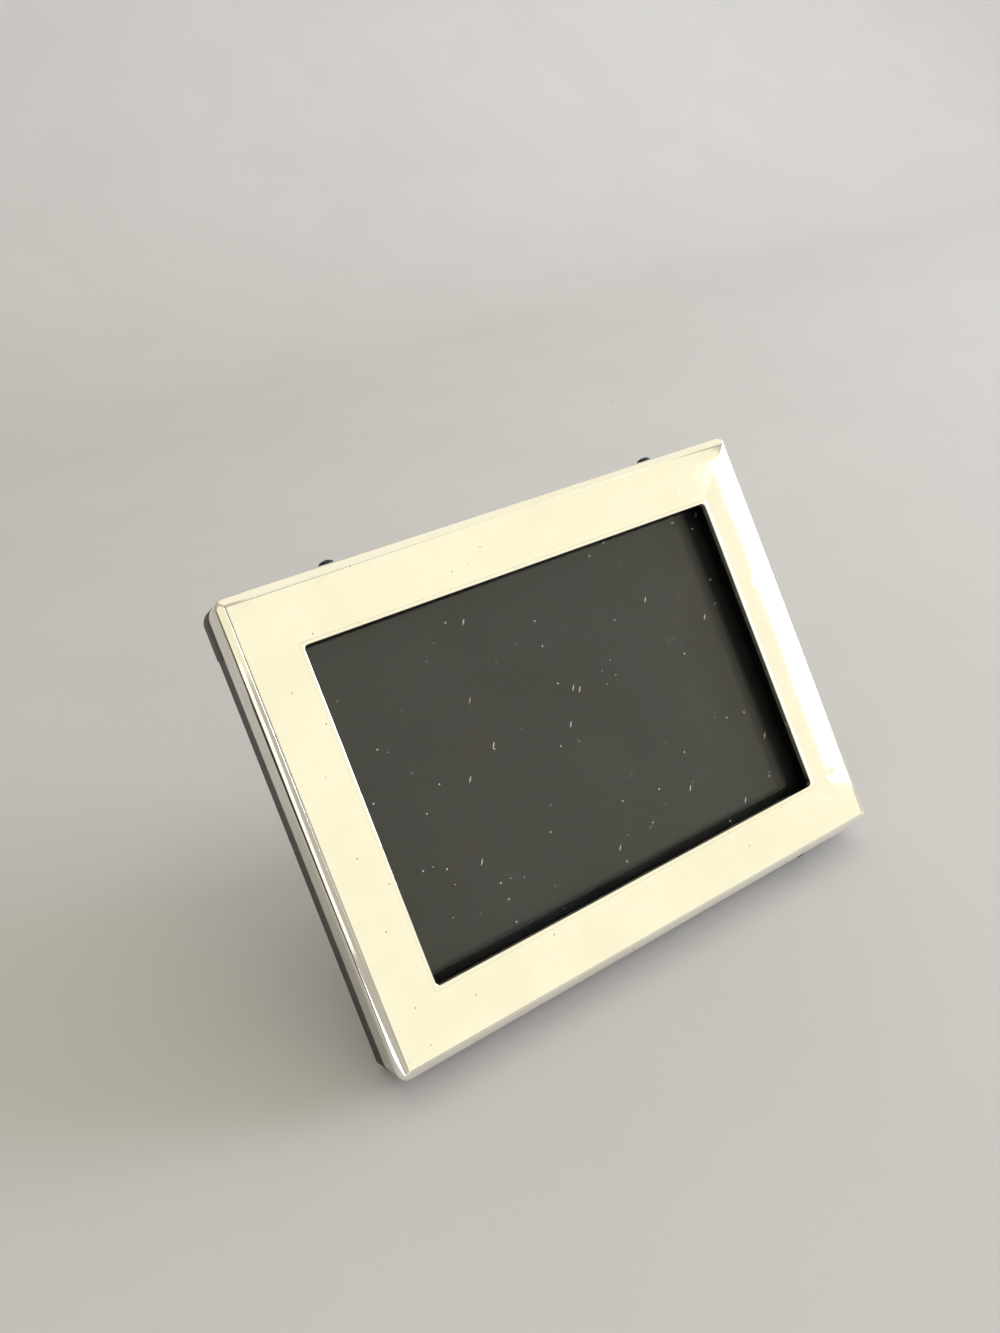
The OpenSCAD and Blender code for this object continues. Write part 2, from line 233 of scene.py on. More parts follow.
class Mesher:
    """Meshes from whole arrays of points, each a pair of points and faces."""

    @staticmethod
    def grid(rows: int, columns: int, wrap_rows: bool = False, wrap_columns: bool = False) -> Points:
        """Quads of a grid of points written row by row.

        Args:
            rows: number of rows.
            columns: number of points in a row.
            wrap_rows: whether the last row joins the first.
            wrap_columns: whether the last column joins the first.

        Returns:
            An array of quads, each the numbers of its four corners.
        """
        row, column = np.meshgrid(
            np.arange(rows - 1 + wrap_rows), np.arange(columns - 1 + wrap_columns), indexing="ij"
        )
        below, right = (row + 1) % rows, (column + 1) % columns
        quads = (row * columns + column, row * columns + right, below * columns + right, below * columns + column)
        return np.stack(quads, -1).reshape(-1, 4)

    @staticmethod
    def outward(points: Points, faces: Faces) -> Mesh:
        """Turns all the faces over if they enclose a negative volume.

        The volume is the sum of the triple products of a fan of triangles on each face.

        Args:
            points: the points.
            faces: the faces on them.

        Returns:
            The mesh.
        """
        centred = points - points.mean(0)
        fans = [(face[0], *face[step:step + 2]) for face in faces for step in range(1, len(face) - 1)]
        first, second, third = (centred[corner] for corner in np.array(fans).T)
        if np.einsum("ij,ij->", first, np.cross(second, third)) >= 0:
            return points, faces
        return points, [face[::-1] for face in faces]

    @classmethod
    def stacked(cls, rings: Points) -> Mesh:
        """A closed solid through a stack of rings, its first and last ring closed by a flat face."""
        count, around, _ = rings.shape
        faces = cls.grid(count, around, False, True).tolist()
        faces.append(list(range(around - 1, -1, -1)))
        faces.append(list(range((count - 1) * around, count * around)))
        return rings.reshape(-1, 3), faces

    @classmethod
    def closed_band(cls, loops: Points) -> Mesh:
        """A closed ring of closed sections: an array of shape places, points of the section, 3."""
        return loops.reshape(-1, 3), cls.grid(*loops.shape[:2], True, True).tolist()

    @classmethod
    def between(cls, front: Points, back: Points) -> Mesh:
        """A closed solid between two sheets of the same grid, joined along their borders.

        Args:
            front: the near sheet, an array of shape rows, columns, 3.
            back: the far sheet, of the same shape.

        Returns:
            The mesh.
        """
        rows, columns, _ = front.shape
        shift = rows * columns
        near = cls.grid(rows, columns)
        numbers = np.arange(shift).reshape(rows, columns)
        border = np.concatenate([numbers[0, :-1], numbers[:-1, -1], numbers[-1, :0:-1], numbers[:0:-1, 0]])
        after = np.roll(border, -1)
        rim = np.stack([after, border, border + shift, after + shift], -1)
        faces = np.concatenate([near, near[:, ::-1] + shift, rim]).tolist()
        return np.concatenate([front, back]).reshape(-1, 3), faces

    @staticmethod
    def joined(parts: Sequence[Mesh]) -> Mesh:
        """Several solids as one mesh."""
        starts = np.cumsum([0] + [len(points) for points, _ in parts]).tolist()
        faces = [
            [number + start for number in face] for start, (_, part) in zip(starts, parts) for face in part
        ]
        return np.concatenate([points for points, _ in parts]), faces


class Outline:
    """Closed flat outlines, as rows of x, z and the outward direction in x and z."""

    @staticmethod
    def rounded(width: float, height: float, radius: float, arc: int, middle: tuple[float, float]) -> Points:
        """A rectangle with round corners: a quarter circle about each corner's centre."""
        corners = [(x * width / 2, z * height / 2) for x, z in ((-1, -1), (1, -1), (1, 1), (-1, 1))]
        return Outline.polygon(corners, radius, arc) + (*middle, 0, 0)

    @staticmethod
    def polygon(corners: Sequence[tuple[float, float]], radius: float, arc: int = 8) -> Points:
        """A convex polygon, counter-clockwise, with each corner rounded.

        At a corner the circle's centre lies where the two sides, moved in by the radius, cross,
        and the outward direction swings from one side's to the next one's.

        Args:
            corners: the corners in x and z.
            radius: the radius of every corner.
            arc: how many steps each corner has.

        Returns:
            The outline.
        """
        first, last = Outline._outward(np.array(corners, float))
        start = np.arctan2(first[:, 1], first[:, 0])
        sweep = (np.arctan2(last[:, 1], last[:, 0]) - start) % (2 * math.pi)
        angle = start[:, None] + sweep[:, None] * np.linspace(0, 1, arc + 1)
        away = np.stack([np.cos(angle), np.sin(angle)], -1)
        edge = Outline.moved_in(corners, radius)[:, None] + radius * away
        return np.concatenate([edge, away], -1).reshape(-1, 4)

    @staticmethod
    def moved_in(corners: Sequence[tuple[float, float]], distance: float) -> Points:
        """The corners of the polygon whose every side lies a distance further in."""
        here = np.array(corners, float)
        first, last = Outline._outward(here)
        return here - (first + last) / (1 + np.sum(first * last, 1))[:, None] * distance

    @staticmethod
    def _outward(here: Points) -> tuple[Points, Points]:
        """The outward directions of the side before and the side after each corner."""
        sides = np.roll(here, -1, 0) - here
        sides /= np.linalg.norm(sides, axis=1)[:, None]
        away = np.stack([sides[:, 1], -sides[:, 0]], -1)
        return np.roll(away, 1, 0), away

    @staticmethod
    def teardrop(broad: float, tip: float, reach: float, count: int = 24) -> Points:
        """Two circles and the tangents between them, the small one up along z.

        Args:
            broad: radius of the circle about the origin.
            tip: radius of the small circle.
            reach: distance of the tip's far end from the origin.
            count: points of the small circle's arc, half those of the other's.

        Returns:
            The outline.
        """
        run = reach - tip
        flare = math.asin((broad - tip) / run)
        high = np.linspace(flare, math.pi - flare, count)
        angle = np.concatenate([high, np.linspace(math.pi - flare, 2 * math.pi + flare, 2 * count)])
        away = np.stack([np.cos(angle), np.sin(angle)], -1)
        radius, centre = np.repeat([(tip, run), (broad, 0)], (count, 2 * count), axis=0).T
        return np.stack([radius * away[:, 0], centre + radius * away[:, 1], *away.T], -1)


def plate_rings(outline: Points, levels: Sequence[tuple[float, float]]) -> Points:
    """Rings of a plate: the outline moved in by an inset and set at a depth, for each level.

    Args:
        outline: rows of x, z and outward direction.
        levels: for each ring, how far it is moved in and its depth y.

    Returns:
        An array of shape rings, points, 3.
    """
    inset, depth = np.array(levels, float).T[:, :, None]
    x, z = (outline[:, axis] - outline[:, axis + 2] * inset for axis in (0, 1))
    return np.stack([x, np.broadcast_to(depth, x.shape), z], -1)


def rounded_levels(near: float, far: float, edge: float, steps: int = 3) -> Levels:
    """Levels of a plate between two depths, both its arrises rounded by a quarter circle."""
    swing = np.linspace(0, QUARTER, steps + 1)
    insets, rises = edge * (1 - np.sin(swing)), edge * (1 - np.cos(swing))
    return list(zip(insets, near + rises)) + list(zip(insets, far - rises))[::-1]


def plate(outline: Points, near: float, far: float, edge: float, steps: int = 3) -> Mesh:
    """A plate between two depths with rounded arrises."""
    return Mesher.stacked(plate_rings(outline, rounded_levels(near, far, edge, steps)))


def tooled_board(outline: Points, levels: Levels, lined: Points, deep: float) -> Mesh:
    """A board with a line tooled into its face.

    Args:
        outline: the board's outline.
        levels: its levels, of which the last is the face.
        lined: an outline just outside the tooled line.
        deep: depth of the line.

    Returns:
        The mesh.
    """
    line = [(inset, levels[-1][1] - share * deep) for inset, share in TOOLED_LINE]
    return Mesher.stacked(np.concatenate([plate_rings(outline, levels), plate_rings(lined, line)]))


def turned_rings(profile: Sequence[tuple[float, float]], count: int) -> Points:
    """Rings of a turned piece: each point of its profile, radius and height, goes round y."""
    radius, height = np.array(profile, float).T[:, :, None]
    angle = np.linspace(0, 2 * math.pi, count, endpoint=False)
    x = radius * np.cos(angle)
    return np.stack([x, np.broadcast_to(height, x.shape), radius * np.sin(angle)], -1)


def dome(radius: float, foot: float, rise: float, start: float = 0.0, share: float = 0.93, steps: int = 7) -> Levels:
    """Profile of a round head: an ellipse's quarter that ends in a small flat."""
    swing = np.linspace(start, QUARTER * share, steps)
    return list(zip(radius * np.cos(swing), foot + rise * np.sin(swing)))


def maths(operation: str, step: int = 1) -> Callable[["Wire", "float | Wire"], "Wire"]:
    """An operator of Wire: one Math node on the wire and the other value, swapped by a step of -1."""
    def operator(self: "Wire", other: "float | Wire") -> "Wire":
        """Adds the Math node."""
        values = dict(enumerate((self, other)[::step]))
        return self.tree.node("ShaderNodeMath", {"operation": operation}, values)

    return operator


class Wire:
    """A shader socket that takes part in sums as a number does; most is the larger of two values."""

    __add__, __radd__ = maths("ADD"), maths("ADD", -1)
    __sub__, __rsub__ = maths("SUBTRACT"), maths("SUBTRACT", -1)
    __mul__, __rmul__ = maths("MULTIPLY"), maths("MULTIPLY", -1)
    most = maths("MAXIMUM")

    def __init__(self, tree: "FinishTree", socket: bpy.types.NodeSocket) -> None:
        """Wraps an output socket of a finish's nodes."""
        self.tree, self.socket = tree, socket

    def between(self, low: float, high: float) -> "Wire":
        """A smooth step from 0 at low to 1 at high, or the other way where low is the larger."""
        ends = {1: low, 2: high} if low < high else {1: high, 2: low, 3: 1.0, 4: 0.0}
        return self.tree.node("ShaderNodeMapRange", {"interpolation_type": "SMOOTHSTEP"}, {0: self, **ends})


class FinishTree:
    """The nodes of one material, on the upright frame's own coordinates in millimetres."""

    def __init__(self, name: str) -> None:
        """Starts a material with the piece's own point, as the upright frame has it in millimetres."""
        self.material = bpy.data.materials.new(name)
        self.material.use_nodes = True
        self.nodes = self.material.node_tree
        self.nodes.nodes.clear()
        own = self.node("ShaderNodeTexCoord", out=3)
        self.place = self.mapped(own, Scale=(1 / MM,) * 3, Rotation=(math.radians(SIZES.lean), 0, 0))

    def node(
        self, kind: str, settings: dict[str, object] | None = None,
        inputs: dict[str | int, object] | None = None, out: int = 0,
    ) -> Wire:
        """Adds a node of any type.

        Args:
            kind: the node's type.
            settings: its settings, set before its sockets.
            inputs: a value or a wire for each named or numbered socket.
            out: number of the output that is returned.

        Returns:
            The output as a wire.
        """
        made = self.nodes.nodes.new(kind)
        for name, value in (settings or {}).items():
            setattr(made, name, value)
        for name, value in (inputs or {}).items():
            self._feed(made.inputs[name], value)
        return Wire(self, made.outputs[out] if made.outputs else made.inputs[0])

    def _feed(self, socket: bpy.types.NodeSocket, value: object) -> None:
        """Links a wire to a socket, or sets the socket's own value."""
        if isinstance(value, Wire):
            self.nodes.links.new(value.socket, socket)
        elif socket.type == "RGBA" and len(value) == 3:
            socket.default_value = (*value, 1.0)
        else:
            socket.default_value = value

    def mapped(self, at: Wire, **inputs: tuple[float, ...]) -> Wire:
        """A point scaled or turned by a Mapping node."""
        return self.node("ShaderNodeMapping", {}, {"Vector": at, **inputs})

    def stretched(self, x: float, y: float, z: float, turn: float = 0.0) -> Wire:
        """The point scaled by a share for each axis, after a turn in the face's plane."""
        turned = self.mapped(self.place, Rotation=(0, math.radians(turn), 0))
        return self.node("ShaderNodeVectorMath", {"operation": "MULTIPLY"}, {0: turned, 1: (x, y, z)})

    def noise(self, scale: float, detail: float = 3.0, rough: float = 0.5, at: Wire | None = None) -> Wire:
        """Cloudy noise with a number of features to the millimetre."""
        inputs = {"Vector": at or self.place, "Scale": scale, "Detail": detail, "Roughness": rough}
        return self.node("ShaderNodeTexNoise", {}, inputs)

    def streaks(
        self, shares: tuple[float, float, float], turn: float = 0.0, detail: float = 3.0, rough: float = 0.6,
    ) -> Wire:
        """Noise drawn out by a share for each axis, after a turn in the face's plane."""
        return self.noise(1.0, detail, rough, self.stretched(*shares, turn))

    def specks(self, scale: float, radius: float, share: float, at: Wire | None = None, flat: bool = False) -> Wire:
        """Sparse round specks: 1 inside the radius of some cells' points.

        Args:
            scale: cells to the millimetre.
            radius: radius of a speck as a share of a cell.
            share: share of the cells that have one.
            at: where to read the pattern.
            flat: whether the cells lie in the face's plane only, and run through the depth.

        Returns:
            The mask.
        """
        vector, settings = at or self.place, {}
        if flat:
            vector, settings = self.mapped(vector, Rotation=(QUARTER, 0, 0)), {"voronoi_dimensions": "2D"}
        near, cell = (
            self.node("ShaderNodeTexVoronoi", settings, {"Vector": vector, "Scale": scale}, out) for out in (0, 1)
        )
        chance = self.node("ShaderNodeSeparateColor", {}, {0: cell})
        return near.between(radius, radius * 0.6) * chance.between(share + 0.01, share - 0.01)

    def attribute(self, name: str) -> Wire:
        """A value that the mesh has at each point."""
        return self.node("ShaderNodeAttribute", {"attribute_name": name}, out=2)

    def mix(self, share: "float | Wire", low: "Colour | Wire", high: "Colour | Wire") -> Wire:
        """A colour between two, by a share."""
        return self.node("ShaderNodeMix", {"data_type": "RGBA"}, {0: share, 6: low, 7: high}, 2)

    def bump(self, height: Wire, distance_mm: float, **after: Wire) -> Wire:
        """A normal bent by a height, whose full step is a distance in millimetres."""
        inputs = {"Height": height, "Distance": distance_mm * MM, "Strength": 1.0, **after}
        return self.node("ShaderNodeBump", {}, inputs)

    def surface(self, **inputs: object) -> Wire:
        """A Principled shader, its sockets named with underscores for their spaces."""
        names = {key.replace("_", " "): value for key, value in inputs.items()}
        return self.node("ShaderNodeBsdfPrincipled", {}, names)


class Finish:
    """A finish: the name of its material, the slot that it is meant for, and how it is painted.

    The stage's own finishes are meant for no slot.
    """

    name: str
    slot: Slot

    def paint(self, tree: FinishTree) -> Wire:
        """The finish's shader."""
        raise NotImplementedError

    def build(self) -> bpy.types.Material:
        """Makes the material."""
        tree = FinishTree(self.name)
        tree.node("ShaderNodeOutputMaterial", {}, {"Surface": self.paint(tree)})
        return tree.material


@dataclass(frozen=True)
class SilverFinish(Finish):
    """Polished silver with hairlines, a slight bloom, tarnish, and painted shade and reflection lines."""

    name: str = "polished_silver"
    slot: Slot = Slot.SILVER
    # bright is warmed a little past plain silver so the metal carries part of the key softbox's cream: a painted
    # reflection tint; bloom is a warmer film mixed in by cloudy noise.
    bright: Colour = (0.955, 0.935, 0.87)
    bloom: Colour = (0.91, 0.87, 0.775)
    tarnish_and_shade_colour: Colour = srgb(112, 88, 62)
    gloss: float = 0.045
    hairlines: Rows = ((24.0, 0.715), (-38.0, 0.725))

    def paint(self, tree: FinishTree) -> Wire:
        """The silver's shader; a hairline is where noise drawn out along its turn passes its level."""
        cloud = tree.noise(0.09).between(0.42, 0.68)
        patch = 0.5 + tree.noise(0.4).between(0.3, 0.75) * 0.5
        # Darkening toward tarnish from the mesh's share: real tarnish in grooves, painted shade over the skirt, and
        # painted dark reflection lines on the ease and upper left side.
        dark = (tree.attribute("tarnish_and_shade") * patch).most(tree.specks(0.3, 0.05, 0.06, flat=True) * 0.7)
        colour = tree.mix(dark, tree.mix(cloud * 0.45, self.bright, self.bloom), self.tarnish_and_shade_colour)
        first, second = (
            tree.streaks((0.09, 1.0, 6.0), turn, 2, 0.5).between(level - 0.02, level + 0.02)
            for turn, level in self.hairlines
        )
        lines = first.most(second)
        wipe = tree.streaks((0.12, 2.0, 5.0), 63.0)
        rough = self.gloss + cloud * 0.02 + wipe * 0.03 + lines * 0.12 + dark * 0.3
        normal = tree.bump(lines, 0.0012, Normal=tree.bump(wipe, 0.0012))
        return tree.surface(Base_Color=colour, Metallic=1.0, Roughness=rough, Normal=normal)


@dataclass(frozen=True)
class BlackWoodFinish(Finish):
    """Black-stained wood under thin polish, browner where its arrises have rubbed.

    The grain says how its pattern is drawn out along each axis.
    """

    name: str
    grain: tuple[float, float, float]
    slot: Slot = Slot.BLACK_WOOD
    black: Colour = srgb(22, 21, 18)
    olive: Colour = srgb(46, 43, 34)
    bare: Colour = srgb(96, 70, 46)

    def paint(self, tree: FinishTree) -> Wire:
        """The wood's shader."""
        grain = tree.noise(2.6, 5, 0.62, tree.stretched(*self.grain))
        pores = tree.noise(9.0, 2, 0.5, tree.stretched(*self.grain)).between(0.60, 0.72)
        cloud = tree.noise(0.16).between(0.35, 0.7)
        bare = tree.attribute("arris").between(0.7, 1.0) * tree.noise(0.8, 4, 0.65).between(0.52, 0.66)
        colour = tree.mix(grain.between(0.38, 0.66) * (0.35 + cloud * 0.5), self.black, self.olive)
        height = tree.bump(grain - pores * 0.7, 0.02, Normal=tree.bump(tree.noise(0.35), 0.03))
        return tree.surface(
            Base_Color=tree.mix(bare * 0.6, colour, self.bare), Normal=height,
            Roughness=0.36 + grain * 0.16 + pores * 0.12 + bare * 0.2,
            Coat_Weight=(1 - bare) * 0.06, Coat_Roughness=0.25, Specular_IOR_Level=0.3,
        )


@dataclass(frozen=True)
class GlassFinish(Finish):
    """Old clear glass with a thin film of dust, and specks and lint on its front face."""

    name: str = "clear_glass"
    slot: Slot = Slot.GLASS
    tint: Colour = (0.97, 0.985, 0.975)
    dust: Colour = srgb(205, 200, 190)
    film_share: float = 0.008
    speck_share: float = 0.85

    def paint(self, tree: FinishTree) -> Wire:
        """The glass's shader."""
        lint = tree.specks(1.0, 0.12, 0.02, tree.stretched(0.15, 1.0, 0.9, 57.0), True) * 0.9
        specks = tree.specks(0.25, 0.050, 0.12, flat=True).most(tree.specks(0.41, 0.055, 0.06, flat=True)).most(lint)
        depth = tree.node("ShaderNodeSeparateXYZ", {}, {0: tree.place}, 1) + float(STANCE.upright(np.zeros(3))[1])
        specks = specks * depth.between(*(SIZES.glass_y + SIZES.glass_t * share for share in (0.6, 0.4)))
        film = tree.noise(0.07).between(0.25, 0.8)
        wiped = tree.streaks((0.1, 0.3, 1.6), 35.0)
        smooth = tree.surface(
            Base_Color=self.tint, Roughness=0.004 + film * 0.008 + specks * 0.3, IOR=1.38,
            Transmission_Weight=1.0, Normal=tree.bump(wiped, 0.0002),
        )
        dusty = tree.surface(Base_Color=self.dust, Roughness=0.8)
        share = self.film_share * (0.4 + film * wiped * 2.4) + specks * self.speck_share
        return tree.node("ShaderNodeMixShader", {}, {0: share, 1: smooth, 2: dusty})


@dataclass(frozen=True)
class ClothFinish(Finish):
    """Dark ribbed cloth with single threads across its ribs."""

    name: str = "ribbed_cloth"
    slot: Slot = Slot.CLOTH
    shade: Colour = srgb(21, 20, 23)
    thread: Colour = srgb(39, 36, 43)

    def paint(self, tree: FinishTree) -> Wire:
        """The cloth's shader."""
        warp, weft = (tree.streaks(shares, 0.0, 2, 0.5) for shares in ((4.2, 0.5, 0.5), (0.25, 0.5, 3.6)))
        share = warp.between(0.35, 0.7) * (0.3 + tree.noise(0.12) * 0.7)
        return tree.surface(
            Base_Color=tree.mix(share, self.shade, self.thread), Roughness=0.86, Sheen_Weight=0.25,
            Sheen_Roughness=0.4, Normal=tree.bump(warp + weft * 0.5, 0.025),
        )


@dataclass(frozen=True)
class LeatherclothFinish(Finish):
    """Black leathercloth: rounded pebbles with creases between them painted darker as shade, slightly glossy on top.
    """

    name: str = "leathercloth"
    slot: Slot = Slot.LEATHERCLOTH
    # deep is painted shade in the creases; top is the pebbles' own colour.
    deep: Colour = srgb(12, 12, 12)
    top: Colour = srgb(34, 33, 33)
    cells: float = 2.85

    def paint(self, tree: FinishTree) -> Wire:
        """The leathercloth's shader."""
        cloud = tree.node("ShaderNodeTexNoise", {}, {"Vector": tree.place, "Scale": 0.9, "Detail": 2.0}, 1)
        bent = tree.node("ShaderNodeMix", {"data_type": "VECTOR"}, {0: 0.35, 4: tree.place, 5: cloud}, 1)
        cells = {"Vector": bent, "Scale": self.cells}
        crease = tree.node("ShaderNodeTexVoronoi", {"feature": "DISTANCE_TO_EDGE"}, cells).between(0.0, 0.22)
        fine = tree.noise(7.0)
        rubbed = tree.noise(0.12, 4, 0.6).between(0.5, 0.75)
        # Creases take the deep colour as painted shade; rubbed pebble tops go lighter toward the top colour.
        return tree.surface(
            Base_Color=tree.mix(crease * (0.5 + rubbed * 0.5), self.deep, self.top),
            Roughness=0.56 - crease * 0.1 + fine * 0.1 - rubbed * 0.08,
            Normal=tree.bump(crease + fine * 0.15, 0.09),
        )


@dataclass(frozen=True)
class MetalFinish(Finish):
    """A plain metal with brushed lines, a darker patina and rubbed spots."""

    name: str
    slot: Slot
    bright: Colour
    patina: Colour
    gloss: float
    patina_share: float = 0.5
    metallic: float = 1.0
    line_turn: float = 0.0

    def paint(self, tree: FinishTree) -> Wire:
        """The metal's shader."""
        lines = tree.streaks((0.5, 9.0, 9.0), self.line_turn)
        cloud = tree.noise(0.45, 4, 0.62).between(0.36, 0.66)
        spots = tree.noise(2.4, 3, 0.6).between(0.60, 0.74)
        old = cloud * self.patina_share + spots * 0.4
        return tree.surface(
            Base_Color=tree.mix(old, self.bright, self.patina), Metallic=self.metallic,
            Roughness=self.gloss + old * 0.2 + lines * 0.1, Normal=tree.bump(lines + spots * 0.6, 0.006),
        )


@dataclass(frozen=True)
class BoardFinish(Finish):
    """Pressed board, card or packing: short fibres, flecks and a slightly uneven face."""

    name: str
    slot: Slot
    light: Colour
    dark: Colour
    fleck: Colour
    rough: float = 0.85
    shine: float = 0.5

    def paint(self, tree: FinishTree) -> Wire:
        """The board's shader."""
        fibre, cross = tree.streaks((0.9, 1.8, 4.5), 20.0, 4, 0.65), tree.streaks((4.0, 1.8, 0.9), -15.0)
        flecks = tree.specks(1.2, 0.16, 0.22)
        colour = tree.mix(fibre.between(0.35, 0.65), self.dark, self.light)
        return tree.surface(
            Base_Color=tree.mix(flecks * 0.5, colour, self.fleck), Roughness=self.rough - flecks * 0.1,
            Normal=tree.bump(fibre + cross * 0.6, 0.03), Specular_IOR_Level=self.shine,
        )


@dataclass(frozen=True)
class PaperFinish(Finish):
    """Matt pale paper for the floor and its sweep, with a little dust."""

    name: str = "stage_paper"
    pale: Colour = srgb(210, 208, 209)
    dust: Colour = srgb(70, 66, 60)
    shade_share: float = 0.97

    def paint(self, tree: FinishTree) -> Wire:
        """The paper's shader."""
        shade = tuple(self.shade_share * value for value in self.pale)
        colour = tree.mix(tree.noise(0.012, 4, 0.55).between(0.3, 0.75), self.pale, shade)
        return tree.surface(
            Base_Color=tree.mix(tree.specks(0.035, 0.02, 0.25) * 0.7, colour, self.dust), Roughness=0.6,
            Normal=tree.bump(tree.noise(0.5, 4), 0.02), Specular_IOR_Level=0.25,
        )


@dataclass(frozen=True)
class FeltFinish(Finish):
    """Dark brown felt for the cards that the silver mirrors, which paint a reflection of shaded floor."""

    name: str = "card_felt"

    def paint(self, tree: FinishTree) -> Wire:
        """The felt's shader."""
        return tree.surface(Base_Color=tree.mix(tree.noise(0.6), srgb(34, 28, 25), srgb(48, 41, 36)), Roughness=0.9)


class Look(Enum):
    """Every finish of the object and its stage."""

    SILVER = SilverFinish()
    WOOD_LEVEL = BlackWoodFinish("black_wood_level", (0.06, 1.0, 1.0))
    WOOD_UPRIGHT = BlackWoodFinish("black_wood_upright", (1.0, 1.0, 0.06))
    GLASS = GlassFinish()
    CLOTH = ClothFinish()
    LEATHERCLOTH = LeatherclothFinish()
    HINGE = MetalFinish(
        "hinge_brass", Slot.HINGE_METAL, srgb(196, 164, 98), srgb(120, 92, 50), 0.3, 0.7, line_turn=90.0
    )
    RIVET = MetalFinish("rivet_brass", Slot.HINGE_METAL, srgb(206, 178, 116), srgb(130, 102, 60), 0.26)
    STEEL = MetalFinish("pin_steel", Slot.STEEL_PIN, srgb(176, 176, 172), srgb(110, 104, 96), 0.3)
    SCREW = MetalFinish("screw_steel", Slot.SCREW_STEEL, srgb(128, 127, 124), srgb(74, 66, 58), 0.34, 0.7)
    BLACK_METAL = MetalFinish(
        "blackened_metal", Slot.BLACK_METAL, srgb(64, 62, 60), srgb(26, 25, 25), 0.36, 0.9, 0.7
    )
    # The black card is darker than plain card, so the wall inside the window reads as pure black: its own black with
    # painted shade.
    SPACER = BoardFinish("black_card", Slot.BLACK_CARD, srgb(9, 9, 9), srgb(4, 4, 4), srgb(22, 21, 20), 0.8, 0.08)
    PACKING = BoardFinish("packing_board", Slot.PACKING, srgb(164, 140, 104), srgb(122, 98, 68), srgb(84, 64, 44))
    BACK_WOOD = BoardFinish("back_board", Slot.BACK_WOOD, srgb(112, 82, 54), srgb(78, 56, 36), srgb(50, 36, 24), 0.75)
    PAPER = PaperFinish()
    FELT = FeltFinish()

    @cache
    def material(self) -> bpy.types.Material:
        """The finish's material, made once."""
        return self.value.build()


class Workshop:
    """Turns meshes into finished pieces that ride on their bodies.

    Edges sharper than the sharp angle stay crisp, and those sharper than the bevel's are rounded.
    """

    sharp_deg: float = 32.0
    bevel_deg: float = 40.0
    merge_m: float = 1e-6

    @staticmethod
    def put(name: str, data: bpy.types.ID) -> bpy.types.Object:
        """An object with the data, put into the scene."""
        made = bpy.data.objects.new(name, data)
        bpy.context.scene.collection.objects.link(made)
        return made

    @staticmethod
    def shaped(name: str, mesh: Mesh) -> bpy.types.Object:
        """An object with the mesh, in metres."""
        data = bpy.data.meshes.new(name)
        data.from_pydata(mesh[0].tolist(), [], mesh[1])
        data.update()
        return Workshop.put(name, data)

    @staticmethod
    def piece(
        name: str, node: str, parts: Sequence[Mesh], look: Look, body: Body = Body.FRAME,
        place: Callable[[Points], Points] = STANCE.place, values: dict[str, Points] | None = None,
    ) -> None:
        """Makes a piece of closed parts.

        Args:
            name: name of the piece.
            node: the solid that it stands for.
            parts: points in millimetres and faces of each part.
            look: its finish.
            body: the body that it rides on.
            place: turns its points into the standing frame's in metres.
            values: values for each point, by the attribute's name.
        """
        placed = [Mesher.outward(place(points), faces) for points, faces in parts]
        made = Workshop.shaped(name, Mesher.joined(placed))
        for key, numbers in (values or {}).items():
            Workshop.give(made, key, numbers)
        Workshop.dress(made, node, look, body)

    @staticmethod
    def give(made: bpy.types.Object, name: str, numbers: Points) -> None:
        """Gives each point of an object a number."""
        layer = made.data.attributes.new(name, "FLOAT", "POINT")
        layer.data.foreach_set("value", numbers.astype(np.float32).ravel())

    @staticmethod
    def dress(made: bpy.types.Object, node: str, look: Look, body: Body) -> None:
        """Gives an object its finish and body, and hides the solid that it stands for.

        Faces of many corners stay flat, and the rest is smooth.
        """
        made.data.set_sharp_from_angle(angle=math.radians(Workshop.sharp_deg))
        smooth = [polygon.loop_total <= 4 for polygon in made.data.polygons]
        made.data.polygons.foreach_set("use_smooth", smooth)
        made.data.materials.clear()
        made.data.materials.append(look.material())
        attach(made, body.value)
        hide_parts(node)
        counts = len(made.data.vertices), len(made.data.polygons)
        LOG.info("%s: %d points, %d faces, on %s", made.name, *counts, body.value)

    @staticmethod
    def softened(name: str, node: str, look: Look, arris: float, segments: int = 3) -> bpy.types.Object:
        """A copy of a solid of the frame with its doubles merged and its arrises rounded by a Bevel.

        Args:
            name: name of the piece.
            node: the solid that it stands for.
            look: its finish.
            arris: width of the rounding in millimetres.
            segments: steps of the rounding.

        Returns:
            The object, its modifiers applied as the evaluated mesh.
        """
        made = Workshop.put(name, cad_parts[node].data.copy())
        made.modifiers.new("merge", "WELD").merge_threshold = Workshop.merge_m
        bevel = made.modifiers.new("arris", "BEVEL")
        bevel.width, bevel.segments = arris * MM, segments
        bevel.limit_method, bevel.angle_limit = "ANGLE", math.radians(Workshop.bevel_deg)
        graph = bpy.context.evaluated_depsgraph_get()
        data = bpy.data.meshes.new_from_object(made.evaluated_get(graph))
        made.modifiers.clear()
        made.data = data
        Workshop.dress(made, node, look, Body.FRAME)
        return made

    @staticmethod
    def finish_solid(node: str, look: Look) -> None:
        """Gives a solid that stays its finish."""
        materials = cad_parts[node].data.materials
        if not materials:
            materials.append(look.material())
        for number in range(len(materials)):
            materials[number] = look.material()
        LOG.info("%s: solid kept, finish %s", node, look.value.name)


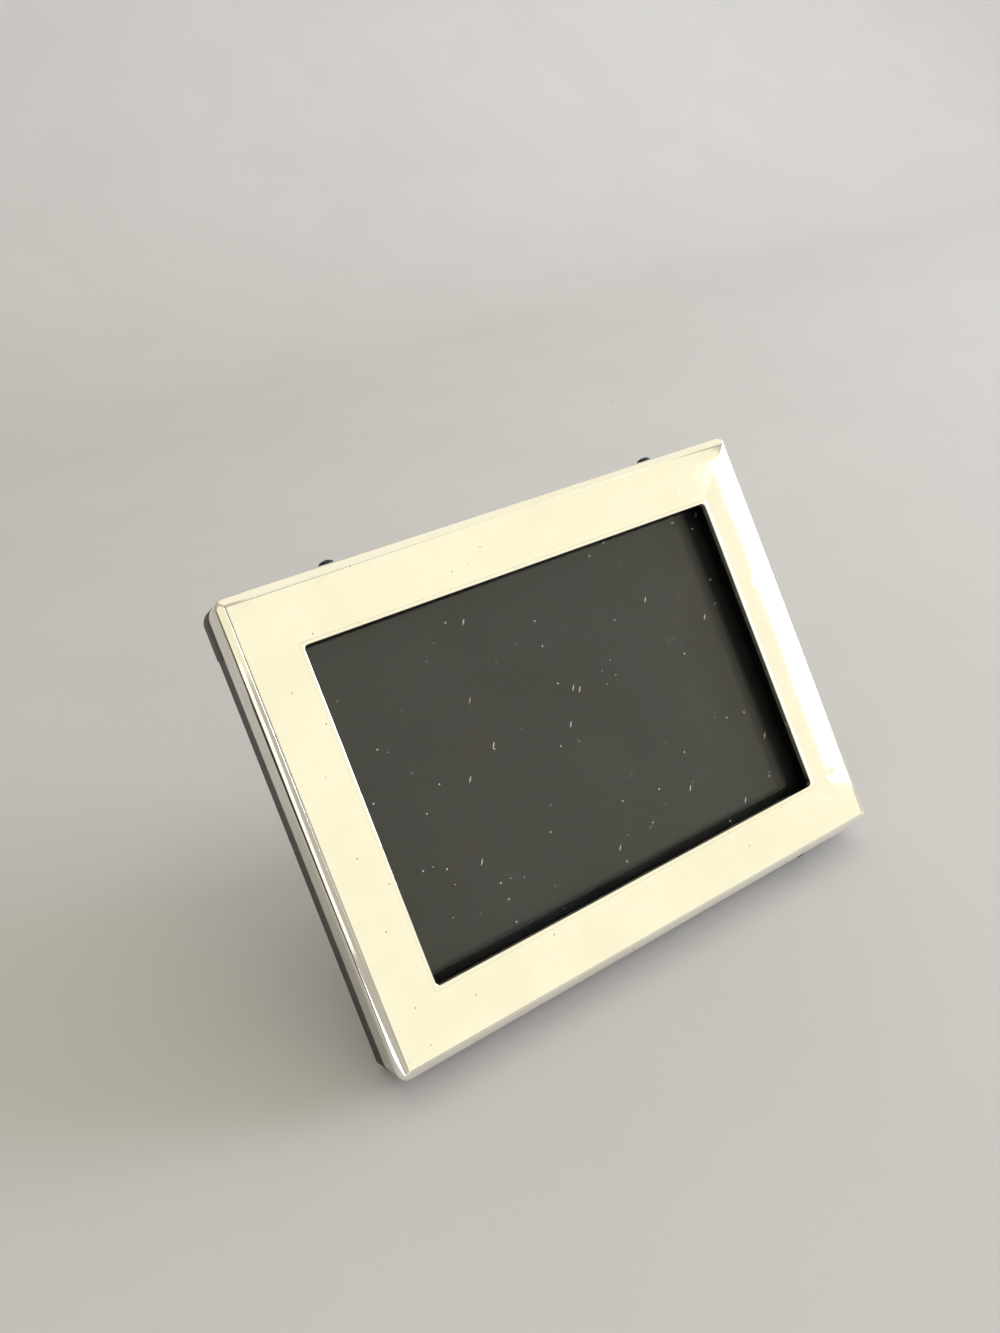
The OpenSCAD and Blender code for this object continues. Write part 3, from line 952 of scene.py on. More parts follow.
@dataclass
class SilverFront:
    """The pressed silver front: its cushioned border, edge band, skirt and rolled window lip.

    A tarnish-and-shade share says how far a line of the section is darkened toward tarnish: real
    tarnish in grooves, painted shade over the skirt and painted reflection lines along the ease.
    The ease's steps are tilt, run and that share; the lip's groove is distance in, depth, radius
    and that share; dents are x, z, radius and depth.
    """

    band_w: float = 1.5
    band_drop: float = 0.81
    ease_w: float = 0.473
    skirt_front: float = 2.063
    skirt_flare: float = 0.03
    skirt_waist: float = 4.6
    # The skirt's share: 0.9 darkens its rear edge next to the wood; the 0.22 over the rest is painted shade, darkening
    # the skirt as the shaded floor it mirrors would.
    skirt_tarnish_and_shade: tuple[float, float] = (0.9, 0.22)
    # The ease's last column darkens its middle steps toward tarnish: a painted dark reflection line between the edge
    # band and the skirt.
    ease: Rows = (
        (86, 0.24, 0), (81, 0.22, 0), (76, 0.20, 0), (71, 0.18, 0), (65, 0.13, 0.15), (58, 0.13, 0.45),
        (51, 0.11, 0.45), (46, 0.09, 0.15), (42, 0.08, 0),
    )
    skirt_r: float = 2.5
    band_r: float = 1.25
    mitre_r: float = 0.3
    window_r: float = 0.8
    edge_y: float = 0.12
    crown: float = 0.14
    line_w: float = 0.08
    line_d: float = 0.02
    lip_line: float = 0.75
    lip_groove: Rows = ((0.07, 0.016, 0.1, 0.8), (0.15, -0.002, 0.2, 0.2))
    lip_r: float = 0.14
    inner_quirk: float = 0.5
    side_steps: tuple[int, int] = (236, 166)
    arc_steps: int = 10
    wave: float = 0.011
    sway: float = 0.02
    dents: Rows = (
        (18.0, 77.3, 0.55, 0.035), (20.5, 79.0, 0.45, 0.03), (36.0, 4.2, 0.6, 0.04),
        (47.5, 11.5, 0.6, 0.035), (-44.0, 76.0, 1.1, 0.03), (-22.0, 6.0, 0.5, 0.02),
        (-48.0, 33.0, 0.45, 0.02), (3.0, 5.5, 0.7, 0.02), (47.0, 52.0, 0.8, 0.025),
    )

    def section(self) -> dict[str, Points]:
        """The sheet's outer section from the skirt's rear edge round to the window lip's.

        The skirt flares by its distance from the waist; the ease over its front edge adds up steps
        of given tilt and run; the edge band drops with a power of the way out; the face rises by a
        parabola; and the lip turns in by a quarter circle.

        Returns:
            Arrays of the same length: out and inn, the distances from the outer edge and from the
            window's edge; share, how far a point belongs to the window's edge; depth; radius, that
            of the corner at that point; and the last, how far the point is darkened toward tarnish:
            real tarnish in grooves, painted shade on the skirt, painted reflection lines on the ease.
        """
        skirt = np.linspace(SIZES.skirt_d, self.skirt_front, 9)
        flare = self.skirt_flare * np.abs(skirt - self.skirt_waist) / (SIZES.skirt_d - self.skirt_waist)
        tilt, run, ease_tarnish_and_shade = np.array(self.ease).T
        over, up = (np.cumsum(run * part(np.radians(tilt))) for part in (np.cos, np.sin))
        over, up = over / over[-1], up / up[-1]
        band, face, swing = np.linspace(0.06, 0.97, 9), np.linspace(0, 1, 27), np.linspace(0, QUARTER, 8)
        tight, edge = self.band_r - 0.15, self.edge_y
        line_in, line_down, line_r, line_quirk = np.array(self.lip_groove).T
        stretches = (
            (flare, 0, 0, skirt, self.skirt_r, np.where(skirt > SIZES.skirt_d - 0.3, *self.skirt_tarnish_and_shade)),
            (self.ease_w * over, 0, 0, self.skirt_front - (self.skirt_front - self.band_drop) * up,
             self.skirt_r + (self.band_r - self.skirt_r) * up ** 1.5, ease_tarnish_and_shade),
            (self.ease_w + (self.band_w - self.ease_w) * band, 0, 0,
             edge + (self.band_drop - edge) * (1 - band) ** 1.25,
             tight + (self.mitre_r - tight) * np.minimum(1, 2.2 * band), 0),
            ([self.band_w], 0, 0, edge + self.line_d, self.mitre_r, 0.75),
            (self.band_w + self.line_w, self.lip_line, face, edge - self.crown * (1 - (2 * face - 1) ** 2),
             self.mitre_r, np.where(face == 0, 0.6, 0)),
            (0, self.lip_line - line_in, 1, edge + line_down, self.mitre_r + line_r, line_quirk),
            (0, self.lip_r * (1 - np.sin(swing)), 1, edge - 0.004 + self.lip_r * (1 - np.cos(swing)),
             self.window_r, 0),
            ([0], 0, 1, SIZES.lip_d, self.window_r, 0.4),
        )
        columns = np.concatenate([np.broadcast_arrays(*stretch) for stretch in stretches], 1)
        return dict(zip(("out", "inn", "share", "depth", "radius", "tarnish_and_shade"), columns))

    @staticmethod
    def distance_in(section: dict[str, Points], border: float) -> Points:
        """Distance of each point of the section from the frame's outer edge, on a border's width."""
        share = section["share"]
        return (1 - share) * section["out"] + share * (border - section["inn"])

    def sheet(self) -> dict[str, Points]:
        """The closed section of the sheet: its outer side, and the same moved in by its thickness."""
        outer = self.section()
        run = np.gradient(self.distance_in(outer, SIZES.side_border)), np.gradient(outer["depth"])
        inward = np.stack([-run[1], run[0]]) / np.hypot(*run) * SIZES.sheet_t
        keep = slice(None, None, -3)
        inner = {key: values[keep].copy() for key, values in outer.items()}
        inner["out"] += inward[0][keep] * (1 - inner["share"])
        inner["inn"] -= inward[0][keep] * inner["share"]
        inner["depth"] += inward[1][keep]
        inner["radius"] = np.maximum(inner["radius"] - SIZES.sheet_t * (1 - inner["share"]), 0.15)
        inner["tarnish_and_shade"][:] = self.inner_quirk
        return {key: np.concatenate([outer[key], inner[key]]) for key in outer}

    def loops(self, section: dict[str, Points]) -> Points:
        """Carries the section round the frame.

        At each of its points the frame's path is a rectangle with round corners: half its width is
        half the frame's less the point's distance in, each corner is a quarter circle about its
        own centre, and the sides run straight between them.

        Args:
            section: the closed section, as sheet gives it.

        Returns:
            An array of shape places round the frame, points of the section, 3.
        """
        radius = section["radius"]
        half = np.stack([
            SIZES.frame_w / 2 - self.distance_in(section, SIZES.side_border),
            SIZES.frame_h / 2 - self.distance_in(section, SIZES.top_border),
        ])
        corners = []
        for number, (sx, sz) in enumerate(((1, -1), (1, 1), (-1, 1), (-1, -1))):
            angle = np.radians(np.linspace(-90, 0, self.arc_steps + 1) + 90 * number)[:, None]
            x, z = half - radius
            corners.append(np.stack([sx * x + radius * np.cos(angle), sz * z + radius * np.sin(angle)], -1))
        path = []
        for number, corner in enumerate(corners):
            after = corners[(number + 1) % 4][0]
            steps = np.linspace(0, 1, self.side_steps[(number + 1) % 2] + 1)[1:-1, None, None]
            path += [corner, corner[-1] * (1 - steps) + after * steps]
        flat = np.concatenate(path)
        depth = np.broadcast_to(section["depth"], flat.shape[:2])
        return np.stack([flat[..., 0], depth, flat[..., 1] + SIZES.frame_h / 2], -1)

    def worked(self, loops: Points) -> Points:
        """Adds what the hand left: long shallow waves, and small round dents in the face.

        A wave is a sum of sines of the place; a dent goes in by its depth times a bell curve of the
        distance from its middle. Both fade where the sheet turns back.

        Args:
            loops: the sheet's points, as loops gives them.

        Returns:
            The points moved.
        """
        x, y, z = np.moveaxis(loops, -1, 0)
        change = self.wave * (
            np.sin(x / 5.3 + z / 9.1 + 0.6) + 0.8 * np.sin(z / 4.7 - x / 13.0 + 2.1)
            + 0.45 * np.sin(x / 2.3 + 1.3) * np.sin(z / 2.9 + 0.4)
        )
        for centre_x, centre_z, radius, depth in self.dents:
            change += depth * np.exp(-((x - centre_x) ** 2 + (z - centre_z) ** 2) / (2 * radius ** 2))
        side = np.clip(y - 1.0, 0, 1) * (1 - np.clip(y - 6.0, 0, 1)) * (np.abs(x) > SIZES.frame_w / 2 - 1)
        sway = self.sway * (np.sin(z / 6.1 + 1.0) + np.sin(x / 7.3 + 0.5) + 0.4 * np.sin((x + z) / 1.9))
        flat = np.clip(1 - (y - 0.4) / 0.8, 0, 1)
        return np.stack([x - np.sign(x) * np.abs(sway) * side, y + change * flat, z], -1)

    @staticmethod
    def tarnish_and_reflection_share(loops: Points) -> Points:
        """A share that scales the darkening toward tarnish at each point.

        The share is whole in the upper half of the left side, where the dark lines are painted
        reflection, nearly a half along the window's top and bottom lip, and an eighth elsewhere on
        the front; further back it is whole again.
        """
        x, y, z = np.moveaxis(loops, -1, 0)
        high = z / SIZES.frame_h
        left = np.clip((-x - SIZES.frame_w / 2 + 6) / 2, 0, 1) * np.clip((high - 0.45) * 5, 0, 1)
        inside = np.clip(1 - np.abs(np.abs(high - 0.5) - 0.395) * 20, 0, 1)
        return np.maximum(0.12 + np.maximum(0.88 * left, 0.45 * inside), np.clip(y - 1.0, 0, 1))

    def build(self) -> None:
        """Makes the silver front."""
        section = self.sheet()
        loops = self.worked(self.loops(section))
        tarnish_and_shade = section["tarnish_and_shade"] * self.tarnish_and_reflection_share(loops)
        mesh = Mesher.closed_band(loops)
        Workshop.piece("pressed_silver_front", "silver_front", [mesh], Look.SILVER, values={"tarnish_and_shade": tarnish_and_shade})


@dataclass
class Carcass:
    """The four black rails behind the silver, and the pins that hold them.

    The rails give each one's finish and how far its rear part is set in; pins are x and top or not.
    A rear arris is rubbed so far across the face and so far along the depth, over a soft edge.
    """

    arris: float = 0.32
    rubbed: tuple[float, float, float] = (0.7, 0.6, 0.4)
    rails: tuple[tuple[str, Look, float], ...] = (
        ("top_rail", Look.WOOD_LEVEL, 0.0), ("right_rail", Look.WOOD_UPRIGHT, 0.16),
        ("bottom_rail", Look.WOOD_LEVEL, 0.16), ("left_rail", Look.WOOD_UPRIGHT, 0.16),
    )
    pin_head_r: float = 1.35
    pin_head_rise: float = 0.7
    pin_in: float = 3.2
    pin_len: float = 4.5
    pin_r: float = 0.5
    collar: float = 0.15
    seat_gap: float = 0.05
    pins: tuple[tuple[float, bool], ...] = ((-32.3, True), (35.0, True), (36.0, False))

    def rail(self, node: str, look: Look, inset: float) -> None:
        """Makes a rail from its solid, with rounded arrises that have rubbed."""
        made = Workshop.softened(f"black_{node}", node, look, self.arris)
        vertices, half_w, half_h = made.data.vertices, SIZES.frame_w / 2, SIZES.frame_h / 2
        values = np.zeros(len(vertices) * 3, np.float32)
        vertices.foreach_get("co", values)
        place = STANCE.upright(values.reshape(-1, 3).astype(float))
        rear = place[:, 1] > SIZES.skirt_d + 0.1
        place[rear, 0] = np.clip(place[rear, 0], inset - half_w, half_w - inset)
        vertices.foreach_set("co", STANCE.place(place).astype(np.float32).ravel())
        across, along, soft = self.rubbed
        side = np.maximum(np.abs(place[:, 0]) - half_w, np.abs(place[:, 2] - half_h) - half_h) + across
        back = place[:, 1] - SIZES.depth + along
        Workshop.give(made, "arris", np.clip(np.minimum(side, back) / soft, 0, 1))
        made.data.update()

    def skirt_pins(self) -> None:
        """Makes the round-headed pins through the skirt: a head, its collar and the shank."""
        rings = turned_rings([
            (self.pin_r * 0.4, -self.pin_len), (self.pin_r, -self.pin_len + 0.8), (self.pin_r, 0.02),
            (self.pin_head_r * 0.97, 0.04), (self.pin_head_r, self.collar),
            *dome(self.pin_head_r, self.collar, self.pin_head_rise, 0.08, 0.94, 9),
        ], 40)
        parts = []
        for x, top in self.pins:
            up, seat = (1, SIZES.frame_h) if top else (-1, 0.0)
            turned = np.stack([rings[..., 0], -up * rings[..., 2], up * (rings[..., 1] + self.seat_gap)], -1)
            parts.append(Mesher.stacked(turned + (x, SIZES.skirt_d - self.pin_in, seat)))
        Workshop.piece("skirt_pin_heads", "skirt_pins", parts, Look.BLACK_METAL)

    def build(self) -> None:
        """Makes the carcass."""
        for rail in self.rails:
            self.rail(*rail)
        self.skirt_pins()
        Workshop.finish_solid("rail_pins", Look.STEEL)


@dataclass
class Glazing:
    """The glass, the black spacer round it, the ribbed cloth behind it and its packing."""

    rib_pitch: float = 0.5
    rib_h: float = 0.015
    rib_steps: int = 8
    slack: float = 0.01
    pane_edge: float = 0.15

    def cloth(self) -> Mesh:
        """The cloth-covered card: its front height is a row of half-round ribs along x."""
        near = SIZES.glass_y + SIZES.glass_t + SIZES.fit_gap
        count = int(SIZES.glazing_h / self.rib_pitch)
        turn = np.linspace(0, count, count * self.rib_steps + 1)
        x, z = np.meshgrid(
            np.linspace(-0.5, 0.5, 25) * SIZES.glazing_w, (turn / count - 0.5) * SIZES.glazing_h + SIZES.frame_h / 2
        )
        rib = np.abs(np.sin(math.pi * turn))[:, None] ** 0.7
        slack = self.slack * (1 + np.sin(x / 9.0 + z / 14.0))
        front = np.stack([x, near + self.slack + self.rib_h * (1 - rib) + slack, z], -1)
        return Mesher.between(front, np.stack([x, np.full_like(x, near + SIZES.card_t), z], -1))

    def build(self) -> None:
        """Makes the glazing."""
        near = SIZES.glass_y
        outline = Outline.rounded(SIZES.glazing_w, SIZES.glazing_h, 0.6, 6, (0, SIZES.frame_h / 2))
        pane = plate(outline, near, near + SIZES.glass_t, self.pane_edge)
        Workshop.piece("glass_pane", "glass", [pane], Look.GLASS)
        Workshop.piece("ribbed_cloth_card", "backing_card", [self.cloth()], Look.CLOTH)
        Workshop.finish_solid("window_spacer", Look.SPACER)
        Workshop.finish_solid("packing_pad", Look.PACKING)


@dataclass
class EaselBack:
    """The lift-out back with its leathercloth, hinge and folding strut."""

    plate_w: float = 16.0
    plate_up: float = 10.0
    plate_down: float = 2.0
    leaf_len: float = 13.0
    middle_w: float = 6.0
    knuckle_gap: float = 0.2
    knuckle_steps: int = 40
    hinge_edge: float = 0.15
    hinge_corner: float = 1.0
    web_h: float = 2.5
    neck_h: float = 2.2
    tab_foot: float = 0.7
    pin_d: float = 1.2
    pin_out: float = 0.4
    pin_ease: float = 0.25
    bore_gap: float = 0.05
    rivet_r: float = 1.6
    rivet_h: float = 0.5
    rivet_foot: float = 0.12
    rivet_shank_r: float = 0.8
    rivet_x: float = 4.48
    rivet_share: float = 0.65
    strut_top_w: float = 18.0
    strut_foot_w: float = 34.0
    strut_top_gap: float = 2.6
    corner_r: float = 0.8
    board_edge: float = 0.2
    strut_edge: float = 0.4
    line_in: float = 2.0
    cover_line_d: float = 0.07
    strut_line_d: float = 0.1

    def boards(self) -> None:
        """Makes the back board and its cover, whose edge is turned in over the board."""
        outline, lined = (
            Outline.rounded(SIZES.glazing_w - inset, SIZES.glazing_h - inset, self.corner_r, 6, (0, SIZES.frame_h / 2))
            for inset in (0, 2 * self.line_in)
        )
        seam = SIZES.depth - SIZES.cover_t
        board = plate(outline, seam - SIZES.board_t, seam, self.board_edge)
        Workshop.piece("back_board_panel", "back_board", [board], Look.BACK_WOOD, Body.BACK)
        levels = [(0.1, seam), (0.0, seam + 0.08), (0.0, seam + 0.22), (0.12, seam + 0.34), (0.32, SIZES.depth)]
        cover = tooled_board(outline, levels, lined, self.cover_line_d)
        Workshop.piece("back_leathercloth", "back_cover", [cover], Look.LEATHERCLOTH, Body.BACK)

    def knuckle(self, start: float, width: float, middle: tuple[float, float] = (0, 0), x_sign: int = 1) -> Mesh:
        """A knuckle as a closed ring: a section with rounded arrises carried round the pin.

        Args:
            start: distance of its near end from the middle.
            width: its length along the pin.
            middle: depth and height of the pin.
            x_sign: the side it lies on.

        Returns:
            The knuckle.
        """
        outer, inner, end, ease = SIZES.knuckle_r, self.pin_d / 2 + self.bore_gap, start + width, self.hinge_edge
        rings = turned_rings([
            (inner, start), (outer - ease, start), (outer, start + ease), (outer, start + width / 2),
            (outer, end - ease), (outer - ease, end), (inner, end),
        ], self.knuckle_steps)
        return Mesher.closed_band(rings.swapaxes(0, 1)[..., ALONG_X] * (x_sign, 1, 1) + (0, *middle))

    def hinge_plate(self) -> None:
        """Makes the plate on the back with its two outer knuckles and their webs."""
        near, tall = SIZES.plate_y, self.plate_up + self.plate_down
        middle = (0, SIZES.hinge_z + tall / 2 - self.plate_down)
        outline = Outline.rounded(self.plate_w, tall, self.hinge_corner, 6, middle)
        side = (self.plate_w - self.middle_w) / 2 - self.knuckle_gap
        rise = SIZES.pin_y - near - self.pin_d / 2 - self.bore_gap - 0.01
        parts = [plate(outline, near, near + SIZES.hinge_t, self.hinge_edge)]
        for sign in (-1, 1):
            parts.append(self.knuckle(self.plate_w / 2 - side, side, (SIZES.pin_y, SIZES.hinge_z), sign))
            web = Outline.rounded(side, self.web_h, 0.2, 3, (sign * (self.plate_w - side) / 2, SIZES.hinge_z))
            levels = [(0, near + 0.3), (0, near + rise * 0.6), (0.15, near + rise)]
            parts.append(Mesher.stacked(plate_rings(web, levels)))
        Workshop.piece("hinge_back_plate", "hinge_plate", parts, Look.HINGE, Body.BACK)

    def leaf(self) -> None:
        """Makes the strut's leaf with its neck, its heel tab and its middle knuckle."""
        clear, half, angle = SIZES.knuckle_r + self.knuckle_gap, SIZES.hinge_t / 2, math.radians(SIZES.strut_open)
        heel = (SIZES.knuckle_r + SIZES.plate_gap - SIZES.fit_gap - half * math.cos(angle)) / math.sin(angle)
        middle, foot = (0, -(self.leaf_len + clear) / 2), self.tab_foot
        outline = Outline.rounded(self.plate_w, self.leaf_len - clear, self.hinge_corner, 6, middle)
        neck = Outline.rounded(self.middle_w, self.neck_h, 0.1, 3, (0, -clear + 0.25))
        tab = Outline.rounded(self.middle_w, heel - foot, 0.1, 3, (0, (heel + foot) / 2))
        parts = [
            plate(outline, -half, half, self.hinge_edge), plate(neck, -half, half, 0.1),
            plate(tab, -half, half, 0.08, 2), self.knuckle(-self.middle_w / 2, self.middle_w),
        ]
        Workshop.piece("hinge_strut_leaf", "strut_leaf", parts, Look.HINGE, Body.EASEL, STANCE.place_strut)

    def rivets(self, name: str, node: str, body: Body, place: Callable[[Points], Points],
               seat: tuple[float, float], length: float) -> None:
        """Makes a pair of rivets: a domed head, the shank and the clenched end.

        Args:
            name: name of the piece.
            node: the solid that it stands for.
            body: the body that it rides on.
            place: turns its points into the standing frame's.
            seat: depth and height of the heads' undersides.
            length: length of the shank.
        """
        foot, shank = self.rivet_foot, self.rivet_shank_r
        rear = [(self.rivet_r * 0.96, 0.0), (self.rivet_r, foot / 2),
                *dome(self.rivet_r, foot, self.rivet_h - foot)]
        front = [(radius, -length - rise) for radius, rise in rear[::-1]]
        rings = turned_rings([*front, (shank, -length + 0.001), (shank, -0.001), *rear], 36)
        parts = [Mesher.stacked(rings + (sign * self.rivet_x, *seat)) for sign in (-1, 1)]
        Workshop.piece(name, node, parts, Look.RIVET, body, place)

    def pin(self) -> None:
        """Makes the hinge pin with rounded ends."""
        half, swing = self.plate_w / 2 + self.pin_out, np.linspace(0.15, 1.0, 5) * QUARTER
        end = np.stack([self.pin_d / 2 * np.sin(swing), half - self.pin_ease * (1 - np.cos(swing))], -1)
        rings = turned_rings(np.concatenate([end * (1, -1), end[::-1]]), 32)
        laid = rings[..., ALONG_X] + (0, SIZES.pin_y, SIZES.hinge_z)
        Workshop.piece("hinge_steel_pin", "hinge_pin", [Mesher.stacked(laid)], Look.STEEL, Body.BACK)

    @staticmethod
    def on_table(points: Points) -> Points:
        """Places points of the strut, and slides those below the table up along it to the table."""
        down = STANCE.place_strut(np.array([0, 0, -1.0])) - STANCE.place_strut(np.zeros(3))
        placed = STANCE.place_strut(points)
        return placed - (np.minimum(placed[..., 2], 0.0) / down[2])[..., None] * down

    def strut(self) -> None:
        """Makes the strut: a tapering board with a tooled line, its foot cut level with the table."""
        low = -SIZES.strut_len - 1.0
        flare = (self.strut_foot_w - self.strut_top_w) / 2 / (SIZES.strut_len - self.strut_top_gap)
        foot, top = self.strut_foot_w / 2 + flare, self.strut_top_w / 2
        corners = [(-foot, low), (foot, low), (top, -self.strut_top_gap), (-top, -self.strut_top_gap)]
        levels = rounded_levels(SIZES.hinge_t / 2 + SIZES.fit_gap, SIZES.strut_out, self.strut_edge, 4)
        outline, lined = (
            Outline.polygon(shape, self.corner_r) for shape in (corners, Outline.moved_in(corners, self.line_in))
        )
        board = tooled_board(outline, levels, lined, self.strut_line_d)
        Workshop.piece("leathercloth_strut", "strut", [board], Look.LEATHERCLOTH, Body.EASEL, self.on_table)

    def build(self) -> None:
        """Makes the back."""
        self.boards()
        self.hinge_plate()
        self.leaf()
        out = SIZES.plate_y + SIZES.hinge_t
        deep = out - (SIZES.depth - SIZES.cover_t - SIZES.board_t)
        self.rivets("plate_rivets", "hinge_plate_rivets", Body.BACK, STANCE.place,
                    (out, SIZES.hinge_z + self.plate_up * self.rivet_share), deep - self.rivet_h)
        self.rivets("strut_leaf_rivets", "strut_rivets", Body.EASEL, STANCE.place_strut,
                    (SIZES.strut_out, -self.leaf_len * self.rivet_share), SIZES.strut_out + SIZES.hinge_t / 2)
        self.pin()
        self.strut()


@dataclass
class TurnButtons:
    """The four turn buttons on the rails and their screws; corners are body, side and height."""

    x: float = 30.0
    broad: float = 2.2
    tip: float = 1.6
    reach: float = 8.0
    thick: float = 1.2
    edge: float = 0.3
    gap: float = 0.1
    turn: float = 90.0
    screw_arris: float = 0.08
    corners: tuple[tuple[Body, int, int], ...] = (
        (Body.TOP_LEFT, -1, 1), (Body.TOP_RIGHT, 1, 1), (Body.BOTTOM_LEFT, -1, -1), (Body.BOTTOM_RIGHT, 1, -1),
    )

    def button(self, body: Body, across: int, up: int) -> None:
        """Makes one button, pointing outwards along its rail."""
        near = SIZES.depth + self.gap
        outline = Outline.teardrop(self.broad, self.tip, self.reach)
        points, faces = plate(outline, near, near + self.thick, self.edge, 4)
        angle = math.radians(across * self.turn)
        cos, sin = math.cos(angle), math.sin(angle)
        turned = points @ np.array([[cos, 0, -sin], [0, 1, 0], [sin, 0, cos]])
        rail = (SIZES.top_border - SIZES.rebate_lap) / 2
        seat = (across * self.x, 0, SIZES.frame_h - rail if up > 0 else rail)
        name = body.value
        Workshop.piece(f"{name}_plate", f"turn_{name}", [(turned + seat, faces)], Look.BLACK_METAL, body)

    def build(self) -> None:
        """Makes the buttons and their screws."""
        for corner in self.corners:
            self.button(*corner)
        Workshop.softened("slotted_button_screws", "turn_button_screws", Look.SCREW, self.screw_arris, 2)


@dataclass(frozen=True)
class Softbox:
    """An evenly bright rectangle: where it hangs, what it faces, its size, brightness and colour.

    One that is mirrored only shows in reflections and adds nothing to matt surfaces.
    """

    name: str
    place: tuple[float, float, float]
    aim: tuple[float, float, float]
    size: tuple[float, float]
    level: float
    colour: Colour = (1.0, 1.0, 1.0)
    roll_deg: float = 0.0
    mirrored_only: bool = False

    def build(self) -> None:
        """Hangs the softbox; its power is its brightness times pi times its area."""
        data = bpy.data.lights.new(self.name, "AREA")
        data.shape, data.size, data.size_y = "RECTANGLE", *self.size
        data.energy, data.color = self.level * math.pi * self.size[0] * self.size[1], self.colour
        made = Workshop.put(self.name, data)
        made.location = self.place
        turn = (Vector(self.aim) - Vector(self.place)).to_track_quat("-Z", "Y")
        made.rotation_euler = (turn @ Quaternion((0, 0, 1), math.radians(self.roll_deg))).to_euler()
        made.visible_camera, made.visible_diffuse = False, not self.mirrored_only


class Lamp(Enum):
    """The softboxes round the frame."""

    KEY = Softbox("key_softbox", (0.295, -0.647, 0.289), (0, 0, 0.03), (0.67, 0.77), 0.54, (1.0, 0.98, 0.69))
    RIGHT = Softbox(
        "right_softbox", (0.745, -0.573, 0.307), (-0.055, -0.073, 0.057), (0.30, 0.395), 1.0, roll_deg=-27.0
    )
    WINDOW = Softbox("window_softbox", (1.050, -0.490, 0.365), (0, 0, 0.03), (0.46, 0.40), 16.3, (0.77, 0.84, 1.0))
    TOP = Softbox("top_softbox", (0.90, 0.43, 1.15), (0.7, 0.38, 0), (2.6, 2.5), 0.5, (1.0, 0.96, 0.76))
    SIDE = Softbox("side_softbox", (1.45, 0.10, 0.60), (0.6, 0.6, 0.1), (0.70, 0.70), 1.4, (0.79, 0.85, 1.0))
    LEFT_LINE = Softbox(
        "left_line_strip", (-0.648, -0.248, 0.127), (-0.060, 0.008, 0.020), (0.15, 0.23), 0.65, roll_deg=26.6,
        mirrored_only=True,
    )
    LEFT_FOOT = Softbox(
        "left_foot_strip", (-0.352, -0.172, 0.004), (-0.352, -0.172, 1.0), (0.55, 0.06), 1.1, roll_deg=-20.5,
        mirrored_only=True,
    )
    LEFT_HIGH = Softbox(
        "left_high_strip", (-0.581, -0.304, 0.361), (0.007, -0.048, 0.254), (0.56, 0.14), 0.45, (1.0, 0.96, 0.58),
        27.5, mirrored_only=True,
    )


@dataclass(frozen=True)
class Camera:
    """The camera of the photograph: place, aim and lens."""

    place: tuple[float, float, float] = (-0.0881, -0.1391, 0.1390)
    down_deg: float = 28.21
    right_deg: float = 28.99
    roll_deg: float = -7.17
    lens: float = 28.36

    def build(self) -> None:
        """Makes the camera: its right axis is level and square to its aim, then rolled about it."""
        down, right, roll = (math.radians(angle) for angle in (self.down_deg, self.right_deg, self.roll_deg))
        forward = Vector((math.sin(right) * math.cos(down), math.cos(right) * math.cos(down), -math.sin(down)))
        level = forward.cross(Vector((0, 0, 1))).normalized()
        side = level * math.cos(roll) + level.cross(forward) * math.sin(roll)
        turn = Matrix((side, side.cross(forward), -forward)).transposed().to_4x4()
        data = bpy.data.cameras.new("photo_camera")
        data.lens, data.sensor_width, data.sensor_fit = self.lens, 36.0, "AUTO"
        data.clip_start, data.clip_end = 0.005, 20.0
        made = Workshop.put("photo_camera", data)
        made.matrix_world = Matrix.Translation(self.place) @ turn
        bpy.context.scene.camera = made


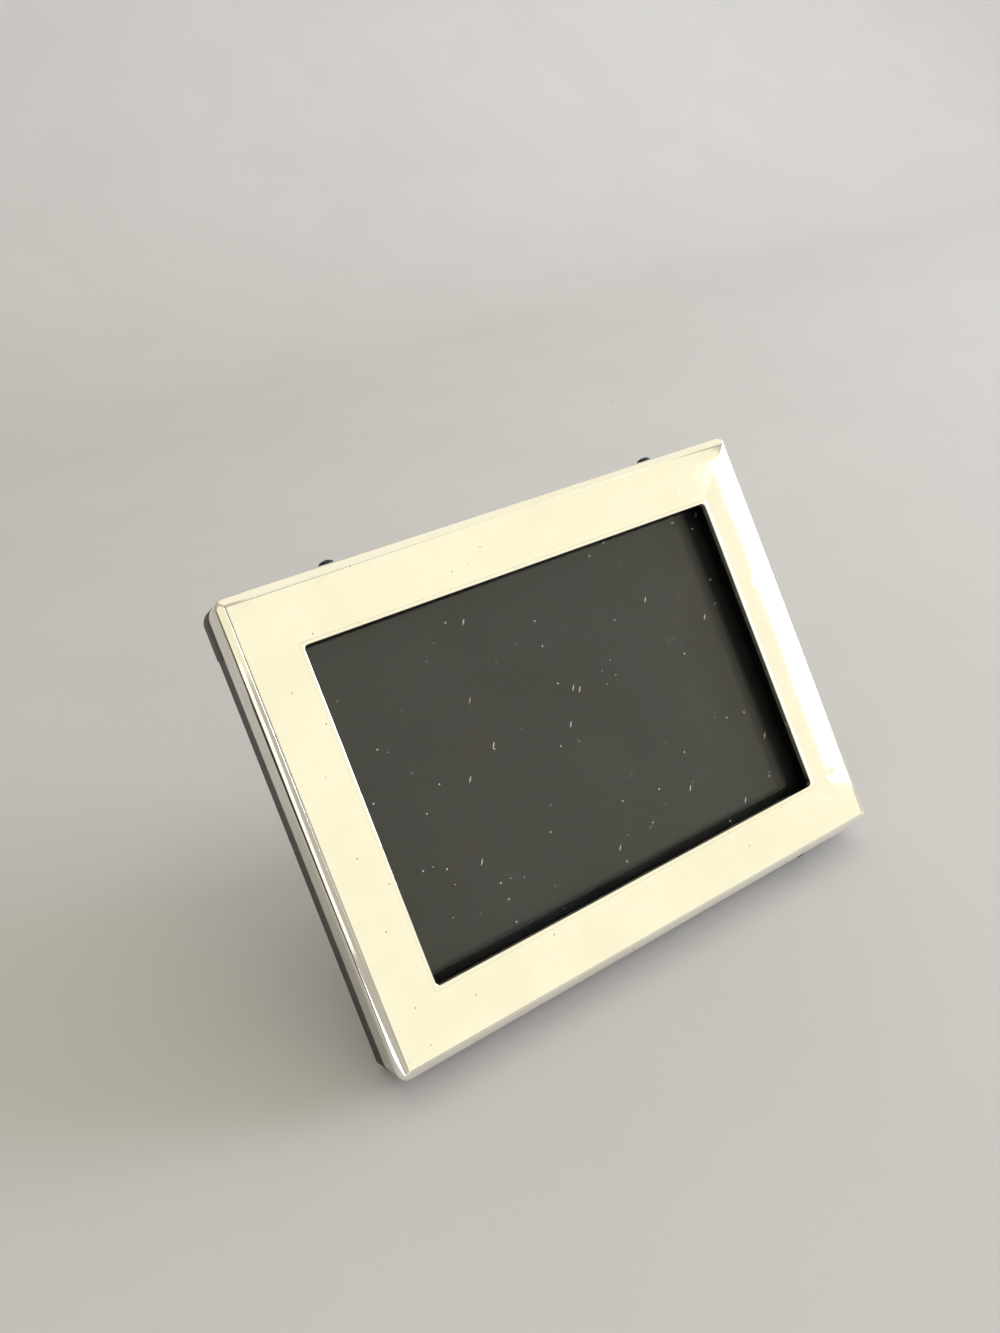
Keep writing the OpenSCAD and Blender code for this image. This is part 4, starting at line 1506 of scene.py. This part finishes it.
@dataclass
class Stage:
    """The pale floor with its sweep, the dark cards, the softboxes and the world."""

    front: float = -1.4
    bend: float = 0.5
    radius: float = 0.45
    top: float = 0.9
    half_w: float = 2.2
    world_level: float = 0.50
    world_colour: Colour = (1.0, 0.95, 0.82)
    card_t: float = 0.001
    # The laid and stood cards are dark sheets seen only in the silver: a painted reflection of the shaded floor.
    laid_card: Rows = (
        (-0.105, -0.050, 0.0), (-0.16, -0.02, 0.0), (-0.20, 0.12, 0.0), (-0.75, 0.16, 0.0), (-0.75, -0.29, 0.0),
    )
    stood_card: Rows = (
        (-0.70, -0.215, 0.0), (-0.70, -0.145, 0.19), (-0.70, 0.14, 0.15), (-0.70, 0.14, 0.0),
    )

    @staticmethod
    def prop(name: str, mesh: Mesh, look: Look) -> bpy.types.Object:
        """Puts a thing on the stage that is no part of the object."""
        made = Workshop.shaped(name, mesh)
        made.data.materials.append(look.material())
        return made

    def sweep(self) -> None:
        """Makes the floor: flat, then a quarter circle up, then a wall."""
        angle = np.linspace(0, QUARTER, 25)
        along = np.concatenate([
            np.linspace(self.front, self.bend, 20)[:-1], self.bend + self.radius * np.sin(angle),
            np.full(6, self.bend + self.radius),
        ])
        high = np.concatenate([
            np.zeros(19), self.radius * (1 - np.cos(angle)), np.linspace(self.radius, self.top, 7)[1:],
        ])
        x, y = np.meshgrid(np.linspace(-self.half_w, self.half_w, 12), along)
        grid = np.stack([x, y, np.broadcast_to(high[:, None], x.shape)], -1)
        made = self.prop("stage_sweep", (grid.reshape(-1, 3), Mesher.grid(*x.shape).tolist()), Look.PAPER)
        made.data.polygons.foreach_set("use_smooth", np.ones(len(made.data.polygons), bool))

    def dark_cards(self) -> None:
        """Sets dark cards left of the camera's view, one laid and one stood.

        Only the silver's left arris shows them, as a dark line that stands for the shaded floor near the frame, a
        painted reflection; they shade and colour nothing else.
        """
        for name, outline, thick in (
            ("laid_card", self.laid_card, (0, 0, self.card_t)), ("stood_card", self.stood_card, (-self.card_t, 0, 0)),
        ):
            rings = np.stack([np.array(outline), np.array(outline) + thick])
            made = self.prop(name, Mesher.outward(*Mesher.stacked(rings)), Look.FELT)
            made.visible_camera = made.visible_diffuse = made.visible_shadow = False

    def world(self) -> None:
        """Gives the world one pale warm colour."""
        world = bpy.data.worlds.new("studio")
        world.use_nodes = True
        ground = world.node_tree.nodes["Background"]
        ground.inputs["Color"].default_value = (*self.world_colour, 1.0)
        ground.inputs["Strength"].default_value = self.world_level
        bpy.context.scene.world = world

    def build(self) -> None:
        """Sets the stage."""
        self.sweep()
        self.dark_cards()
        for lamp in Lamp:
            lamp.value.build()
        self.world()
        bpy.context.scene.view_settings.view_transform = "Standard"


def main() -> None:
    """Builds the object and its stage, and reports each piece."""
    logging.basicConfig(level=logging.INFO, format="%(message)s")
    for maker in (SilverFront(), Carcass(), Glazing(), EaselBack(), TurnButtons(), Camera(), Stage()):
        maker.build()


if __name__ == "__main__":
    main()
